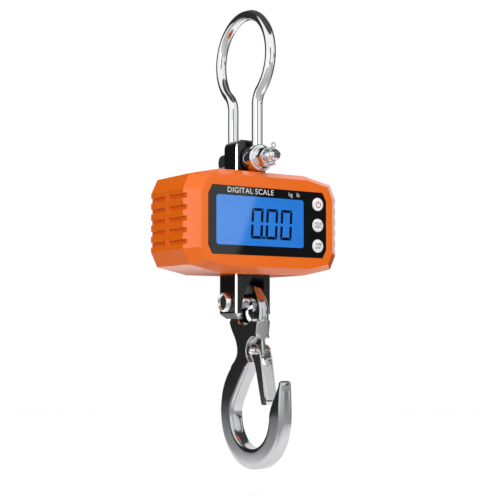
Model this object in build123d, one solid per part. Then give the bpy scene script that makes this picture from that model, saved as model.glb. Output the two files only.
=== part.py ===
# Hanging crane scale: a bow shackle over an orange two-part housing, with a swivelling hook below.
# Millimetres, +Z up, front towards -Y. The origin is the inner top of the shackle's bow,
# the point where the crane's hook bears.
from build123d import *
import os
from math import cos, radians, sin, sqrt

# ---- driving dimensions ----
FIT = 0.05            # radial clearance of a running fit
GAP = 0.3             # clearance between pieces that move past each other
SEAM = 0.1            # clearance between pieces that are only assembled

# shackle
ROD_R = 4.0
BOW_R = 32.0          # bow centreline
WAIST_R = 15.0        # reverse bend under the bow
LEG_Y = 15.5
SHACKLE_PIN_Z = -102.0
EYE_R = 9.8
EYE_Y = (9.6, 21.4)
SHACKLE_PIN_R = 4.0
WASHER = (8.2, 1.6)   # outer radius, thickness
NUT_FLATS = 13.0
NUT_LENGTH = 7.0
PIN_END_Y = -40.0
PIN_HEAD = (7.0, 5.0)  # radius, length
PIN_SOCKET_R, PIN_SOCKET_DEPTH = 3.0, 3.2     # hexagon socket in the pin's head
WASHER_Y = -EYE_Y[1] - SEAM - WASHER[1]
NUT_Y = WASHER_Y - SEAM - NUT_LENGTH
SPLIT_Y, SPLIT_R, SPLIT_LENGTH = -35.6, 1.0, 13.0
SPLIT_RING = (2.0, 0.9, 7.2)                  # outer radius, inner radius, height over the pin's axis

# load cell bar
UPPER_X, UPPER_Y, UPPER_TOP = 13.0, 8.3, -88.0
LOWER_X, LOWER_Y, LOWER_BOTTOM = 15.0, 11.0, -215.7
LOWER_TOP = -179.0
LOWER_CHAMFER = 3.8
SLOT_HALF = 10.2      # half width of the hook slot at its mouth
SLOT_APEX = -185.2
SLOT_SPRING_Z = -212.0
UPPER_CORNER = 6.0
GAUGE_Z = 10.0        # the two bores of the measuring window, above and below the middle
GAUGE_R = 5.0
GAUGE_SLIT = 2.4
CELL_SCREW_Z = 23.6

# housing
MID_Z = -148.5
OUTLINE = ((65.0, 20.5), (60.0, 31.0), (36.0, 36.0))
SIDE_Y, FACE_Y = 22.0, 30.5
BEVEL_INSETS = (9.5, 9.0, 4.8, 4.4)     # side, corner, slope, top
WALL_INSETS = (3.4, 2.6, 2.4, 2.4)
WALL_Y = 2.5
GRIP_COUNT, GRIP_PITCH, GRIP_HEIGHT, GRIP_DEPTH = 5, 7.8, 3.2, 2.0
GRIP_END_Y = 2.4
POST_X, POST_Z, POST_R = 46.0, 25.8, 3.4
CELL_ROOM = 0.5       # clearance of the housing's openings round the load cell

# front panel and display
PANEL_X, PANEL_Z, PANEL_CUT = 50.0, 23.5, (3.3, 6.0)
PANEL_T = 0.6
PANEL_BACK = -FACE_Y + PANEL_T
WINDOW = (-43.8, 29.8, -165.5, -131.3)
WINDOW_CORNER = 2.0
KEY_X = 42.4
KEY_Z = (-133.5, -148.6, -163.5)
KEY_R = 4.7
KEY_TRAVEL = 0.8
KEY_PROUD = 0.7
KEY_FLANGE_Y = -FACE_Y + WALL_Y + 0.25
BOARD_X, BOARD_Z, BOARD_T, BOARD_Y = 53.5, 22.1, 1.6, -19.0
BOARD_SCREW = (50.0, 19.2)
BOARD_BACK = BOARD_Y + BOARD_T + SEAM
LCD_Y = (PANEL_BACK + 0.15, PANEL_BACK + 2.95)
SWITCH_TOP = BOARD_Y - SEAM - 3.6

# load cell cable
CABLE_R = 1.0
CABLE_Z = MID_Z + 4.0
CABLE_Y = 2.0
CONNECTOR_X = -34.0
CONNECTOR = (8.0, 6.0, 6.0)       # width, depth, height
LEAD_X, LEAD_R, LEAD_BEND = -19.0, 0.7, 12.0

# battery compartment
CELL_R, CELL_LENGTH, CELL_PITCH = 5.2, 43.2, 11.2
TRAY_X, TRAY_Z, TRAY_WALL = 24.8, 18.0, 1.2
TRAY_Y = (13.2, 28.2)
CELL_Y = TRAY_Y[0] + TRAY_WALL + CELL_R + 0.3
CELL_NUB = (1.9, 0.8)             # radius, height
DOOR_X, DOOR_Z, DOOR_T = 27.6, 20.6, 1.6

# hook
HOOK_X = 4.0
HOOK_T = 11.0
EYE_T = 8.0
HOOK_PIN_Z = -204.0
HOOK_PIN_R = 5.0
HOOK_EYE_R = 15.5
POCKET_R = 20.4
BOWL = (-7.0, -284.3)     # y, z of the bowl's centre
BOWL_OUT, BOWL_IN = 38.2, 23.2
HOOK_HEAD_R, HOOK_HEAD_T = 6.8, 4.3
EYE_HOLE_R, EYE_HOLE_Z = 9.9, -209.8      # wide lower part of the eye's opening, under the pin's seat
BUSH_R = 6.6

# latch
LATCH_PIN = (-13.2, -238.3)
LATCH_PIN_R = 1.5
LUG_T = 3.2
LATCH_IN, LATCH_SHEET = 4.1, 1.1
LATCH_TIP = (-26.5, -276.0)
TONGUE_END = (-33.8, -273.2)
LATCH_ROOM_R = 9.8        # relief in the hook's flanks around the latch pin
LATCH_HEAD_R, RIVET_R = 2.7, 2.6


# ---- small helpers ----
def block(x, y, z):
    """Box between (low, high) pairs."""
    centre = [(a + b) / 2 for a, b in (x, y, z)]
    return Pos(*centre) * Box(x[1] - x[0], y[1] - y[0], z[1] - z[0])


def rod_x(radius, x, y, z):
    """Cylinder along X between the pair x."""
    return Pos((x[0] + x[1]) / 2, y, z) * Rot(0, 90, 0) * Cylinder(radius, x[1] - x[0])


def rod_y(radius, x, y, z):
    """Cylinder along Y between the pair y."""
    return Pos(x, (y[0] + y[1]) / 2, z) * Rot(90, 0, 0) * Cylinder(radius, y[1] - y[0])


def plate_xz(points, y):
    """Prism along Y between the pair y, from an outline in X and Z."""
    wire = Polyline(*[(x, y[0], z) for x, z in points], close=True)
    return extrude(make_face(wire), amount=y[1] - y[0], dir=(0, 1, 0))


def plate_yz(points, x):
    """Prism along X between the pair x, from an outline in Y and Z."""
    wire = Polyline(*[(x[0], y, z) for y, z in points], close=True)
    return extrude(make_face(wire), amount=x[1] - x[0], dir=(1, 0, 0))


def union(parts):
    total = parts[0]
    for part in parts[1:]:
        total = total + part
    return total


def four(x, z):
    """The four mirror places of a point about the housing's middle."""
    return [(sx * x, MID_Z + sz * z) for sx in (-1, 1) for sz in (-1, 1)]


def mirrored_outline(quarter):
    """A closed outline about the housing's middle from its upper right quarter."""
    right = [(x, -z) for x, z in reversed(quarter)] + list(quarter)
    left = [(-x, z) for x, z in reversed(right)]
    return [(x, MID_Z + z) for x, z in right + left]


def inset_outline(points, insets):
    """Moves each edge of a mirrored outline inwards: insets are for its side, corner, slope and top edges."""
    side, corner, slope, top = insets
    kinds = (slope, corner, side, corner, slope, top)
    lines = []
    for i, (x0, z0) in enumerate(points):
        x1, z1 = points[(i + 1) % len(points)]
        length = sqrt((x1 - x0) ** 2 + (z1 - z0) ** 2)
        normal = ((z1 - z0) / length, (x0 - x1) / length)
        lines.append((normal, normal[0] * x0 + normal[1] * z0 - kinds[i % len(kinds)]))
    result = []
    for i, (n1, d1) in enumerate(lines):
        n0, d0 = lines[i - 1]
        det = n0[0] * n1[1] - n0[1] * n1[0]
        result.append(((d0 * n1[1] - d1 * n0[1]) / det, (n0[0] * d1 - n1[0] * d0) / det))
    return result


# ---- shackle ----
def shackle_bow():
    centre_z = -(BOW_R - ROD_R)
    waist_y = LEG_Y + WAIST_R
    waist_z = centre_z - sqrt((BOW_R + WAIST_R) ** 2 - waist_y ** 2)
    share = BOW_R / (BOW_R + WAIST_R)
    meet = (waist_y * share, centre_z + (waist_z - centre_z) * share)
    bend = radians(25)
    waist_mid = (waist_y - WAIST_R * cos(bend), waist_z + WAIST_R * sin(bend))
    leg_end = SHACKLE_PIN_Z + EYE_R / 2

    def at(y, z):
        return (0, y, z)

    path = Wire([
        Line(at(-LEG_Y, leg_end), at(-LEG_Y, waist_z)),
        ThreePointArc(at(-LEG_Y, waist_z), at(-waist_mid[0], waist_mid[1]), at(-meet[0], meet[1])),
        ThreePointArc(at(-meet[0], meet[1]), at(0, ROD_R), at(meet[0], meet[1])),
        ThreePointArc(at(meet[0], meet[1]), at(waist_mid[0], waist_mid[1]), at(LEG_Y, waist_z)),
        Line(at(LEG_Y, waist_z), at(LEG_Y, leg_end)),
    ])
    section = Plane(origin=at(-LEG_Y, leg_end), z_dir=(0, 0, 1)) * Circle(ROD_R)
    bow = sweep(section, path=path)
    for side in (-1, 1):
        y = sorted((side * EYE_Y[0], side * EYE_Y[1]))
        bow = bow + rod_y(EYE_R, 0, y, SHACKLE_PIN_Z)
        bow = bow - rod_y(SHACKLE_PIN_R + FIT, 0, (y[0] - 1, y[1] + 1), SHACKLE_PIN_Z)
    return bow


def shackle_pin():
    head_y = EYE_Y[1] + SEAM
    pin = rod_y(SHACKLE_PIN_R, 0, (PIN_END_Y, head_y), SHACKLE_PIN_Z)
    pin = pin + rod_y(PIN_HEAD[0], 0, (head_y, head_y + PIN_HEAD[1]), SHACKLE_PIN_Z)
    hexagon = extrude(RegularPolygon(PIN_SOCKET_R, 6), PIN_SOCKET_DEPTH, both=True)
    pin = pin - Pos(0, head_y + PIN_HEAD[1], SHACKLE_PIN_Z) * Rot(90, 0, 0) * hexagon
    ends = pin.faces().sort_by(Axis.Y)[0].edges()
    pin = chamfer(ends, 0.8)
    return pin - Pos(0, SPLIT_Y, SHACKLE_PIN_Z) * Cylinder(SPLIT_R + SEAM, 12)


def shackle_washer():
    washer = rod_y(WASHER[0], 0, (WASHER_Y, WASHER_Y + WASHER[1]), SHACKLE_PIN_Z)
    return washer - rod_y(SHACKLE_PIN_R + FIT, 0, (-40, 0), SHACKLE_PIN_Z)


def shackle_nut():
    """Hexagon whose corners are turned off a little."""
    hexagon = extrude(RegularPolygon(NUT_FLATS / 2, 6, major_radius=False), NUT_LENGTH / 2, both=True)
    nut = Pos(0, NUT_Y + NUT_LENGTH / 2, SHACKLE_PIN_Z) * Rot(90, 0, 0) * hexagon
    nut = nut & rod_y(NUT_FLATS / 2 * 1.11, 0, (NUT_Y, NUT_Y + NUT_LENGTH), SHACKLE_PIN_Z)
    return nut - rod_y(SHACKLE_PIN_R + FIT, 0, (-40, 0), SHACKLE_PIN_Z)


def split_pin():
    outer, inner, height = SPLIT_RING
    shank = Pos(0, SPLIT_Y, SHACKLE_PIN_Z - 0.7) * Cylinder(SPLIT_R, SPLIT_LENGTH)
    ring = Cylinder(outer, 1.8) - Cylinder(inner, 3)
    return shank + Pos(0, SPLIT_Y, SHACKLE_PIN_Z + height) * Rot(90, 0, 0) * ring


# ---- load cell ----
def hook_slot():
    """Pointed arch through the lower block, with a disc-shaped pocket for the hook's eye."""
    height = SLOT_APEX - SLOT_SPRING_Z
    centre = (height ** 2 - SLOT_HALF ** 2) / (2 * SLOT_HALF)
    radius = SLOT_HALF + centre
    mid = height / 2
    mid_x = sqrt(radius ** 2 - mid ** 2) - centre
    y0 = -LOWER_Y - 2
    low = LOWER_BOTTOM - 2
    arch = Wire([
        Line((-SLOT_HALF, y0, low), (-SLOT_HALF, y0, SLOT_SPRING_Z)),
        ThreePointArc((-SLOT_HALF, y0, SLOT_SPRING_Z), (-mid_x, y0, SLOT_SPRING_Z + mid), (0, y0, SLOT_APEX)),
        ThreePointArc((0, y0, SLOT_APEX), (mid_x, y0, SLOT_SPRING_Z + mid), (SLOT_HALF, y0, SLOT_SPRING_Z)),
        Line((SLOT_HALF, y0, SLOT_SPRING_Z), (SLOT_HALF, y0, low)),
        Line((SLOT_HALF, y0, low), (-SLOT_HALF, y0, low)),
    ])
    cut = extrude(make_face(arch), amount=2 * LOWER_Y + 4, dir=(0, 1, 0))
    half = EYE_T / 2 + 0.8
    pocket = rod_x(POCKET_R, (HOOK_X - half, HOOK_X + half), 0, HOOK_PIN_Z)
    bush_room = rod_x(BUSH_R + GAP, (-SLOT_HALF, 0), 0, HOOK_PIN_Z)
    return cut + pocket + bush_room


def load_cell():
    upper = block((-UPPER_X, UPPER_X), (-UPPER_Y, UPPER_Y), (LOWER_TOP - 1, UPPER_TOP))
    upper = fillet(upper.edges().filter_by(Axis.Y).group_by(Axis.Z)[-1], UPPER_CORNER)
    lower = block((-LOWER_X, LOWER_X), (-LOWER_Y, LOWER_Y), (LOWER_BOTTOM, LOWER_TOP))
    lower = chamfer(lower.faces().sort_by(Axis.Z)[0].edges(), LOWER_CHAMFER)
    cell = upper + lower - hook_slot()
    cell = cell - rod_y(SHACKLE_PIN_R + FIT, 0, (-20, 20), SHACKLE_PIN_Z)
    cell = cell - rod_x(HOOK_PIN_R + FIT, (-20, 20), 0, HOOK_PIN_Z)
    for side in (-1, 1):
        cell = cell - rod_y(GAUGE_R, 0, (-20, 20), MID_Z + side * GAUGE_Z)
        cell = cell - rod_y(1.7, 0, (0.5, 20), MID_Z + side * CELL_SCREW_Z)
    return cell - block((-GAUGE_SLIT / 2, GAUGE_SLIT / 2), (-20, 20), (MID_Z - GAUGE_Z, MID_Z + GAUGE_Z))


def strain_gauges():
    """Four foil pads on the bores' thin outer walls."""
    return union([Pos(x * (GAUGE_R - 0.5), 0, MID_Z + side * GAUGE_Z) * Box(0.3, 6.0, 3.0)
                  for side in (-1, 1) for x in (-1, 1)])


def cell_potting():
    """Soft sealant disc over the front mouth of each bore."""
    return union([rod_y(GAUGE_R - SEAM, 0, (-UPPER_Y + 0.2, -UPPER_Y + 3.2), MID_Z + side * GAUGE_Z)
                  for side in (-1, 1)])


def cell_cable():
    """From the load cell's side to the connector on the board, held inside all the way."""
    start = (-UPPER_X - SEAM, CABLE_Y, CABLE_Z)
    corner = (CONNECTOR_X, CABLE_Y, CABLE_Z)
    end = (CONNECTOR_X, BOARD_BACK + CONNECTOR[1] + SEAM, CABLE_Z)
    route = FilletPolyline(start, corner, end, radius=0.45 * (CABLE_Y - end[1]))
    return sweep(Plane(origin=start, z_dir=(-1, 0, 0)) * Circle(CABLE_R), path=route)


def cable_connector():
    return Pos(CONNECTOR_X, BOARD_BACK + CONNECTOR[1] / 2, CABLE_Z) * Box(*CONNECTOR)


def battery_lead(z):
    """One wire from the battery tray's floor past the load cell to the board."""
    start = (LEAD_X, TRAY_Y[0] - GAP, z)
    end = (LEAD_X * 1.25, BOARD_BACK, z)
    middle = (LEAD_X * 1.25, 4.0, z)
    route = FilletPolyline(start, middle, end, radius=LEAD_BEND)
    heading = tuple(b - a for a, b in zip(start, middle))
    return sweep(Plane(origin=start, z_dir=heading) * Circle(LEAD_R), path=route)


# ---- housing ----
def faceted_form(outline, face_outline, side_y, face_y):
    """Straight prism with a bevelled cap at the front and at the back."""
    form = plate_xz(outline, (-side_y, side_y))
    for side in (-1, 1):
        near = make_face(Polyline(*[(x, side * side_y, z) for x, z in outline], close=True))
        far = make_face(Polyline(*[(x, side * face_y, z) for x, z in face_outline], close=True))
        form = form + loft([near, far], ruled=True)
    return form


def grip_grooves():
    """Finger grooves on both ends, stopping short of the parting line."""
    cuts = []
    for side in (-1, 1):
        x = sorted((side * (OUTLINE[0][0] - GRIP_DEPTH), side * (OUTLINE[0][0] + 2)))
        for i in range(GRIP_COUNT):
            z = MID_Z + (i - (GRIP_COUNT - 1) / 2) * GRIP_PITCH
            for y in ((-FACE_Y, -GRIP_END_Y), (GRIP_END_Y, FACE_Y)):
                cuts.append(block(x, y, (z - GRIP_HEIGHT / 2, z + GRIP_HEIGHT / 2)))
    return union(cuts)


def housing_shell():
    """The hollow housing before it is parted, and the solid form of its inside."""
    outline = mirrored_outline(OUTLINE)
    face = inset_outline(outline, BEVEL_INSETS)
    outer = faceted_form(outline, face, SIDE_Y, FACE_Y)
    inner = faceted_form(inset_outline(outline, WALL_INSETS), inset_outline(face, WALL_INSETS),
                         SIDE_Y - 1.0, FACE_Y - WALL_Y)
    shell = outer - inner - grip_grooves()
    for x, y, z in ((UPPER_X, UPPER_Y, (MID_Z, MID_Z + 40)), (LOWER_X, LOWER_Y, (MID_Z - 40, MID_Z))):
        x, y = x + CELL_ROOM, y + CELL_ROOM
        shell = shell - block((-x, x), (-y, y), z)
    return shell, inner


def panel_outline(margin=0.0):
    x, z = PANEL_X + margin, PANEL_Z + margin
    return mirrored_outline(((x, z - PANEL_CUT[1]), (x - PANEL_CUT[0], z)))


def window_opening(margin, y):
    """Square-cornered block of the window's size plus a margin on each side."""
    return block((WINDOW[0] - margin, WINDOW[1] + margin), y, (WINDOW[2] - margin, WINDOW[3] + margin))


def window_block(margin, y):
    return fillet(window_opening(margin, y).edges().filter_by(Axis.Y), WINDOW_CORNER + margin)


def front_cover(shell, inner):
    cover = shell & block((-80, 80), (-40, -SEAM / 2), (-200, -90))
    cover = cover - plate_xz(panel_outline(SEAM), (-FACE_Y - 1, PANEL_BACK + 0.05))
    cover = cover - window_opening(1.3, (-FACE_Y, -20))
    wall = -FACE_Y + WALL_Y
    posts = [rod_y(POST_R, x, (wall - 0.5, -SEAM / 2), z) for x, z in four(POST_X, POST_Z)]
    posts += [rod_y(2.6, x, (wall - 0.5, BOARD_Y - SEAM), z) for x, z in four(*BOARD_SCREW)]
    for post in posts:
        cover = cover + (post & inner)
    for x, z in four(POST_X, POST_Z):
        cover = cover - rod_y(1.3, x, (-18, 1), z)
    for x, z in four(*BOARD_SCREW):
        cover = cover - rod_y(1.0, x, (-26.5, -15), z)
    for z in KEY_Z:
        cover = cover - rod_y(KEY_R + GAP, KEY_X, (-FACE_Y - 1, -25), z)
    return cover


def rear_cover(shell, inner):
    cover = shell & block((-80, 80), (SEAM / 2, 40), (-200, -90))
    wall = FACE_Y - WALL_Y
    room = 0.35
    door = block((-DOOR_X - room, DOOR_X + room), (FACE_Y - DOOR_T - 0.1, FACE_Y + 1),
                 (MID_Z - DOOR_Z - room, MID_Z + DOOR_Z + room))
    mouth = block((-TRAY_X - room, TRAY_X + room), (wall - 2, FACE_Y + 1),
                  (MID_Z - TRAY_Z - room, MID_Z + TRAY_Z + room))
    cover = cover - door - mouth
    for x, z in four(POST_X, POST_Z):
        cover = cover + (rod_y(POST_R, x, (SEAM / 2, wall + 0.5), z) & inner)
        cover = cover - rod_y(1.8, x, (-1, FACE_Y + 1), z) - rod_y(3.0, x, (FACE_Y - 4, FACE_Y + 1), z)
    for side in (-1, 1):
        z = MID_Z + side * CELL_SCREW_Z
        cover = cover + rod_y(4.2, 0, (UPPER_Y + SEAM, wall + 0.5), z)
        cover = cover - rod_y(2.2, 0, (UPPER_Y - 1, FACE_Y + 1), z)
        cover = cover - rod_y(3.8, 0, (FACE_Y - 5, FACE_Y + 1), z)
    return cover


def screw(x, z, head_r, head_y, head_t, shank_r, tip_y):
    """Pan-head screw along Y with its head towards the rear and a cross recess."""
    shape = rod_y(head_r, x, (head_y, head_y + head_t), z) + rod_y(shank_r, x, (tip_y, head_y), z)
    for wide, tall in ((2.4, 0.6), (0.6, 2.4)):
        shape = shape - Pos(x, head_y + head_t, z) * Box(wide, 1.8, tall)
    return shape


def housing_screws():
    return union([screw(x, z, 2.8, FACE_Y - 4 + SEAM, 2.2, 1.3 - FIT, -15.0)
                  for x, z in four(POST_X, POST_Z)])


def cell_screws():
    return union([screw(0, MID_Z + side * CELL_SCREW_Z, 3.5, FACE_Y - 5 + SEAM, 2.8, 1.7 - FIT, 2.0)
                  for side in (-1, 1)])


def board_screws():
    return union([screw(x, z, 2.0, BOARD_BACK, 1.4, 1.0 - FIT, -25.5) for x, z in four(*BOARD_SCREW)])


def gasket(half_x, half_y, z):
    room = 0.15
    ring = block((-half_x - 4, half_x + 4), (-half_y - 4, half_y + 4), z)
    ring = fillet(ring.edges().filter_by(Axis.Z), 3.0)
    hole = block((-half_x - room, half_x + room), (-half_y - room, half_y + room), (z[0] - 1, z[1] + 1))
    return ring - hole


# ---- front panel, display and keys ----
def front_panel():
    panel = plate_xz(panel_outline(), (-FACE_Y, PANEL_BACK))
    panel = panel - window_block(0.0, (-FACE_Y - 1, PANEL_BACK + 1))
    for z in KEY_Z:
        panel = panel - rod_y(KEY_R + 0.25, KEY_X, (-FACE_Y - 1, PANEL_BACK + 1), z)
    return panel


def display_window():
    return window_block(-0.06, (-FACE_Y, PANEL_BACK))


def lcd_glass():
    return window_opening(1.0, LCD_Y)


def backlight():
    """Light guide behind the glass, with a rim that frames it."""
    guide = window_opening(2.5, (-FACE_Y + WALL_Y + SEAM, BOARD_Y - SEAM))
    return guide - window_opening(1.1, (-FACE_Y, LCD_Y[1] + SEAM))


def main_board():
    board = block((-BOARD_X, BOARD_X), (BOARD_Y, BOARD_Y + BOARD_T), (MID_Z - BOARD_Z, MID_Z + BOARD_Z))
    for x, z in four(*BOARD_SCREW):
        board = board - rod_y(1.2, x, (BOARD_Y - 1, BOARD_Y + 3), z)
    return board


def board_chips():
    """Processor, amplifier and crystal: x, z, width, height and length away from the board."""
    chips = [(27.0, 1.0, 10.0, 1.6, 10.0), (-19.0, 13.0, 6.0, 1.6, 10.0), (20.0, -13.0, 4.0, 3.0, 10.0)]
    return union([Pos(x, BOARD_BACK + height / 2, MID_Z + z) * Box(width, height, length)
                  for x, z, width, height, length in chips])


def buzzer():
    x, z, radius, height = -36.0, MID_Z - 14.0, 6.0, 6.5
    can = rod_y(radius, x, (BOARD_BACK, BOARD_BACK + height), z)
    return can - rod_y(1.0, x, (BOARD_BACK + 5, BOARD_BACK + 8), z)


def tact_switches():
    return union([block((KEY_X - 3, KEY_X + 3), (SWITCH_TOP + 0.5, BOARD_Y - SEAM), (z - 3, z + 3))
                  + rod_y(1.7, KEY_X, (SWITCH_TOP, SWITCH_TOP + 1), z) for z in KEY_Z])


def key(z):
    cap = rod_y(KEY_R, KEY_X, (-FACE_Y - KEY_PROUD, KEY_FLANGE_Y + 1), z)
    cap = fillet(cap.faces().sort_by(Axis.Y)[0].edges(), 0.4)
    flange = rod_y(KEY_R + 1.1, KEY_X, (KEY_FLANGE_Y, KEY_FLANGE_Y + 1.2), z)
    stem = rod_y(1.6, KEY_X, (KEY_FLANGE_Y + 1, SWITCH_TOP - KEY_TRAVEL - GAP), z)
    return cap + flange + stem


# ---- battery compartment ----
def battery_tray():
    tray = block((-TRAY_X, TRAY_X), TRAY_Y, (MID_Z - TRAY_Z, MID_Z + TRAY_Z))
    inside = block((-TRAY_X + TRAY_WALL, TRAY_X - TRAY_WALL), (TRAY_Y[0] + TRAY_WALL, TRAY_Y[1] + 1),
                   (MID_Z - TRAY_Z + TRAY_WALL, MID_Z + TRAY_Z - TRAY_WALL))
    return tray - inside


def battery_cell(index):
    """Cells alternate direction; the nub is the positive end."""
    z = MID_Z + (index - 1) * CELL_PITCH
    sign = 1 if index % 2 == 0 else -1
    spring_room = 0.6
    ends = sorted((sign * (-CELL_LENGTH / 2 + spring_room), sign * (CELL_LENGTH / 2 + spring_room)))
    can = rod_x(CELL_R, ends, CELL_Y, z)
    nub_from = sign * (CELL_LENGTH / 2 + spring_room)
    nub = rod_x(CELL_NUB[0], sorted((nub_from - sign, nub_from + sign * CELL_NUB[1])), CELL_Y, z)
    return can + nub


def contact(index, pole):
    """Sheet-metal contact at one end of a cell: a spring at the minus pole, a flat plate at the plus."""
    z = MID_Z + (index - 1) * CELL_PITCH
    sign = 1 if index % 2 == 0 else -1
    wall = TRAY_X - TRAY_WALL
    end = sign * pole
    x = sorted((end * (wall - SEAM), end * (wall - SEAM - 0.4)))
    plate = block(x, (CELL_Y - 4, CELL_Y + 4), (z - 4, z + 4))
    if pole < 0:
        low = wall - SEAM - 0.3
        plate = plate + rod_x(2.6, sorted((end * low, end * (low - 1.5))), CELL_Y, z)
    return plate


def battery_cover():
    """Door flush with the rear face, with a locating lip and a finger notch."""
    y = (FACE_Y - DOOR_T, FACE_Y)
    door = block((-DOOR_X, DOOR_X), y, (MID_Z - DOOR_Z, MID_Z + DOOR_Z))
    notch = block((-7, 7), (FACE_Y - 0.8, FACE_Y + 1), (MID_Z + DOOR_Z - 4, MID_Z + DOOR_Z - 1.2))
    x, z = TRAY_X - TRAY_WALL - GAP, TRAY_Z - TRAY_WALL - GAP
    lip = block((-x, x), (TRAY_Y[1] - 1.6, y[0]), (MID_Z - z, MID_Z + z))
    x, z = x - TRAY_WALL, z - TRAY_WALL
    lip = lip - block((-x, x), (TRAY_Y[1] - 3, y[0]), (MID_Z - z, MID_Z + z))
    return door - notch + lip


# ---- hook ----
def hook_outline():
    """Side profile of the hook in Y and Z: eye, waist, bowl and tip."""
    by, bz = BOWL

    def at(y, z):
        return (HOOK_X, y, z)

    front_out, back_out = at(by - BOWL_OUT, bz), at(by + BOWL_OUT, bz)
    front_in, back_in = at(by - BOWL_IN, bz), at(by + BOWL_IN, bz)
    eye_angle = radians(35)
    eye_front = at(-HOOK_EYE_R * cos(eye_angle), HOOK_PIN_Z + HOOK_EYE_R * sin(eye_angle))
    eye_back = at(HOOK_EYE_R * cos(eye_angle), HOOK_PIN_Z + HOOK_EYE_R * sin(eye_angle))
    tip_out, tip_top, tip_in = at(-45.3, -262.0), at(-43.4, -258.0), at(-40.6, -261.5)
    lug_top, lug_nose, lug_low = at(-17.6, -231.0), at(-17.9, -240.0), at(-12.5, -244.5)
    return Wire([
        ThreePointArc(eye_front, at(0, HOOK_PIN_Z + HOOK_EYE_R), eye_back),
        Spline([eye_back, at(19.3, -205.0), at(20.4, -214.0), at(16.0, -224.5), at(10.2, -233.5),
                at(9.4, -240.5), at(14.8, -247.3), at(21.2, -254.0), at(26.6, -261.8), at(29.9, -271.0),
                at(31.0, -279.0), back_out]),
        ThreePointArc(back_out, at(by, bz - BOWL_OUT), front_out),
        Spline([front_out, tip_out], tangents=[(0, 0, 1), (0, 0, 1)]),
        ThreePointArc(tip_out, tip_top, tip_in),
        Spline([tip_in, at(-36.8, -268.5), at(-32.2, -277.0), front_in],
               tangents=[(0, 0.5, -1), (0, 0.1, -1)]),
        ThreePointArc(front_in, at(by, bz - BOWL_IN), back_in),
        Spline([back_in, at(11.6, -272.5), at(4.2, -261.5), at(-3.0, -252.0), lug_low],
               tangents=[(0, 0, 1), (0, -1, 0.2)]),
        ThreePointArc(lug_low, at(-16.7, -243.0), lug_nose),
        Line(lug_nose, lug_top),
        Spline([lug_top, at(-20.0, -217.0), at(-19.6, -206.0), eye_front],
               tangents=[(0, -0.15, 1), (0, sin(eye_angle), cos(eye_angle))]),
    ])


def hook():
    """Flat forging, thinner at the eye and relieved round the latch's pin.

    The eye's opening is a seat that fits the hook's pin, over a wider round hole.
    """
    face = make_face(hook_outline())
    body = extrude(face, amount=HOOK_T / 2, dir=(1, 0, 0), both=True)
    half, thin = HOOK_T / 2 + 1, EYE_T / 2
    for side in (-1, 1):
        x = sorted((HOOK_X + side * thin, HOOK_X + side * half))
        eye_room = block(x, (-40, 40), (HOOK_PIN_Z - 13.0, HOOK_PIN_Z + 30))
        lug_x = sorted((HOOK_X + side * LUG_T / 2, HOOK_X + side * half))
        lug_room = rod_x(LATCH_ROOM_R, lug_x, *LATCH_PIN)
        body = body - eye_room - lug_room
    body = body - rod_x(HOOK_PIN_R + FIT, (-20, 20), 0, HOOK_PIN_Z)
    body = body - rod_x(EYE_HOLE_R, (-20, 20), 0, EYE_HOLE_Z)
    return body - rod_x(LATCH_PIN_R + FIT, (-20, 20), *LATCH_PIN)


def hook_pin():
    """Collared head on the left, a groove for the retaining ring on the right."""
    def ring(outer, inner, x):
        return rod_x(outer, x, 0, HOOK_PIN_Z) - rod_x(inner, (x[0] - 1, x[1] + 1), 0, HOOK_PIN_Z)

    left = -LOWER_X - SEAM
    pin = rod_x(HOOK_PIN_R, (left - HOOK_HEAD_T - 0.2, LOWER_X + 3.4), 0, HOOK_PIN_Z)
    head = rod_x(HOOK_HEAD_R, (left - HOOK_HEAD_T, left), 0, HOOK_PIN_Z)
    head = head - ring(HOOK_HEAD_R + 1, HOOK_HEAD_R - 0.6, (left - 1.9, left - 1.3))
    return pin + head - ring(HOOK_PIN_R + 1, HOOK_PIN_R - 0.6, (LOWER_X + 0.8, LOWER_X + 2.0))


def pin_circlip():
    """Snap ring in the pin's groove, open at the bottom."""
    ring = rod_x(7.0, (LOWER_X + 0.9, LOWER_X + 1.9), 0, HOOK_PIN_Z)
    ring = ring - rod_x(4.5, (0, 30), 0, HOOK_PIN_Z)
    return ring - block((0, 30), (-1.5, 1.5), (HOOK_PIN_Z - 12, HOOK_PIN_Z))


def hook_spacers():
    """Bush and thin washer that keep the hook's eye in its place across the slot."""
    left = rod_x(BUSH_R, (-SLOT_HALF + SEAM, HOOK_X - EYE_T / 2 - GAP), 0, HOOK_PIN_Z)
    washer = HOOK_X + EYE_T / 2 + 0.2
    right = rod_x(BUSH_R, (washer, washer + 0.5), 0, HOOK_PIN_Z)
    return left + right - rod_x(HOOK_PIN_R + FIT, (-20, 20), 0, HOOK_PIN_Z)


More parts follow.
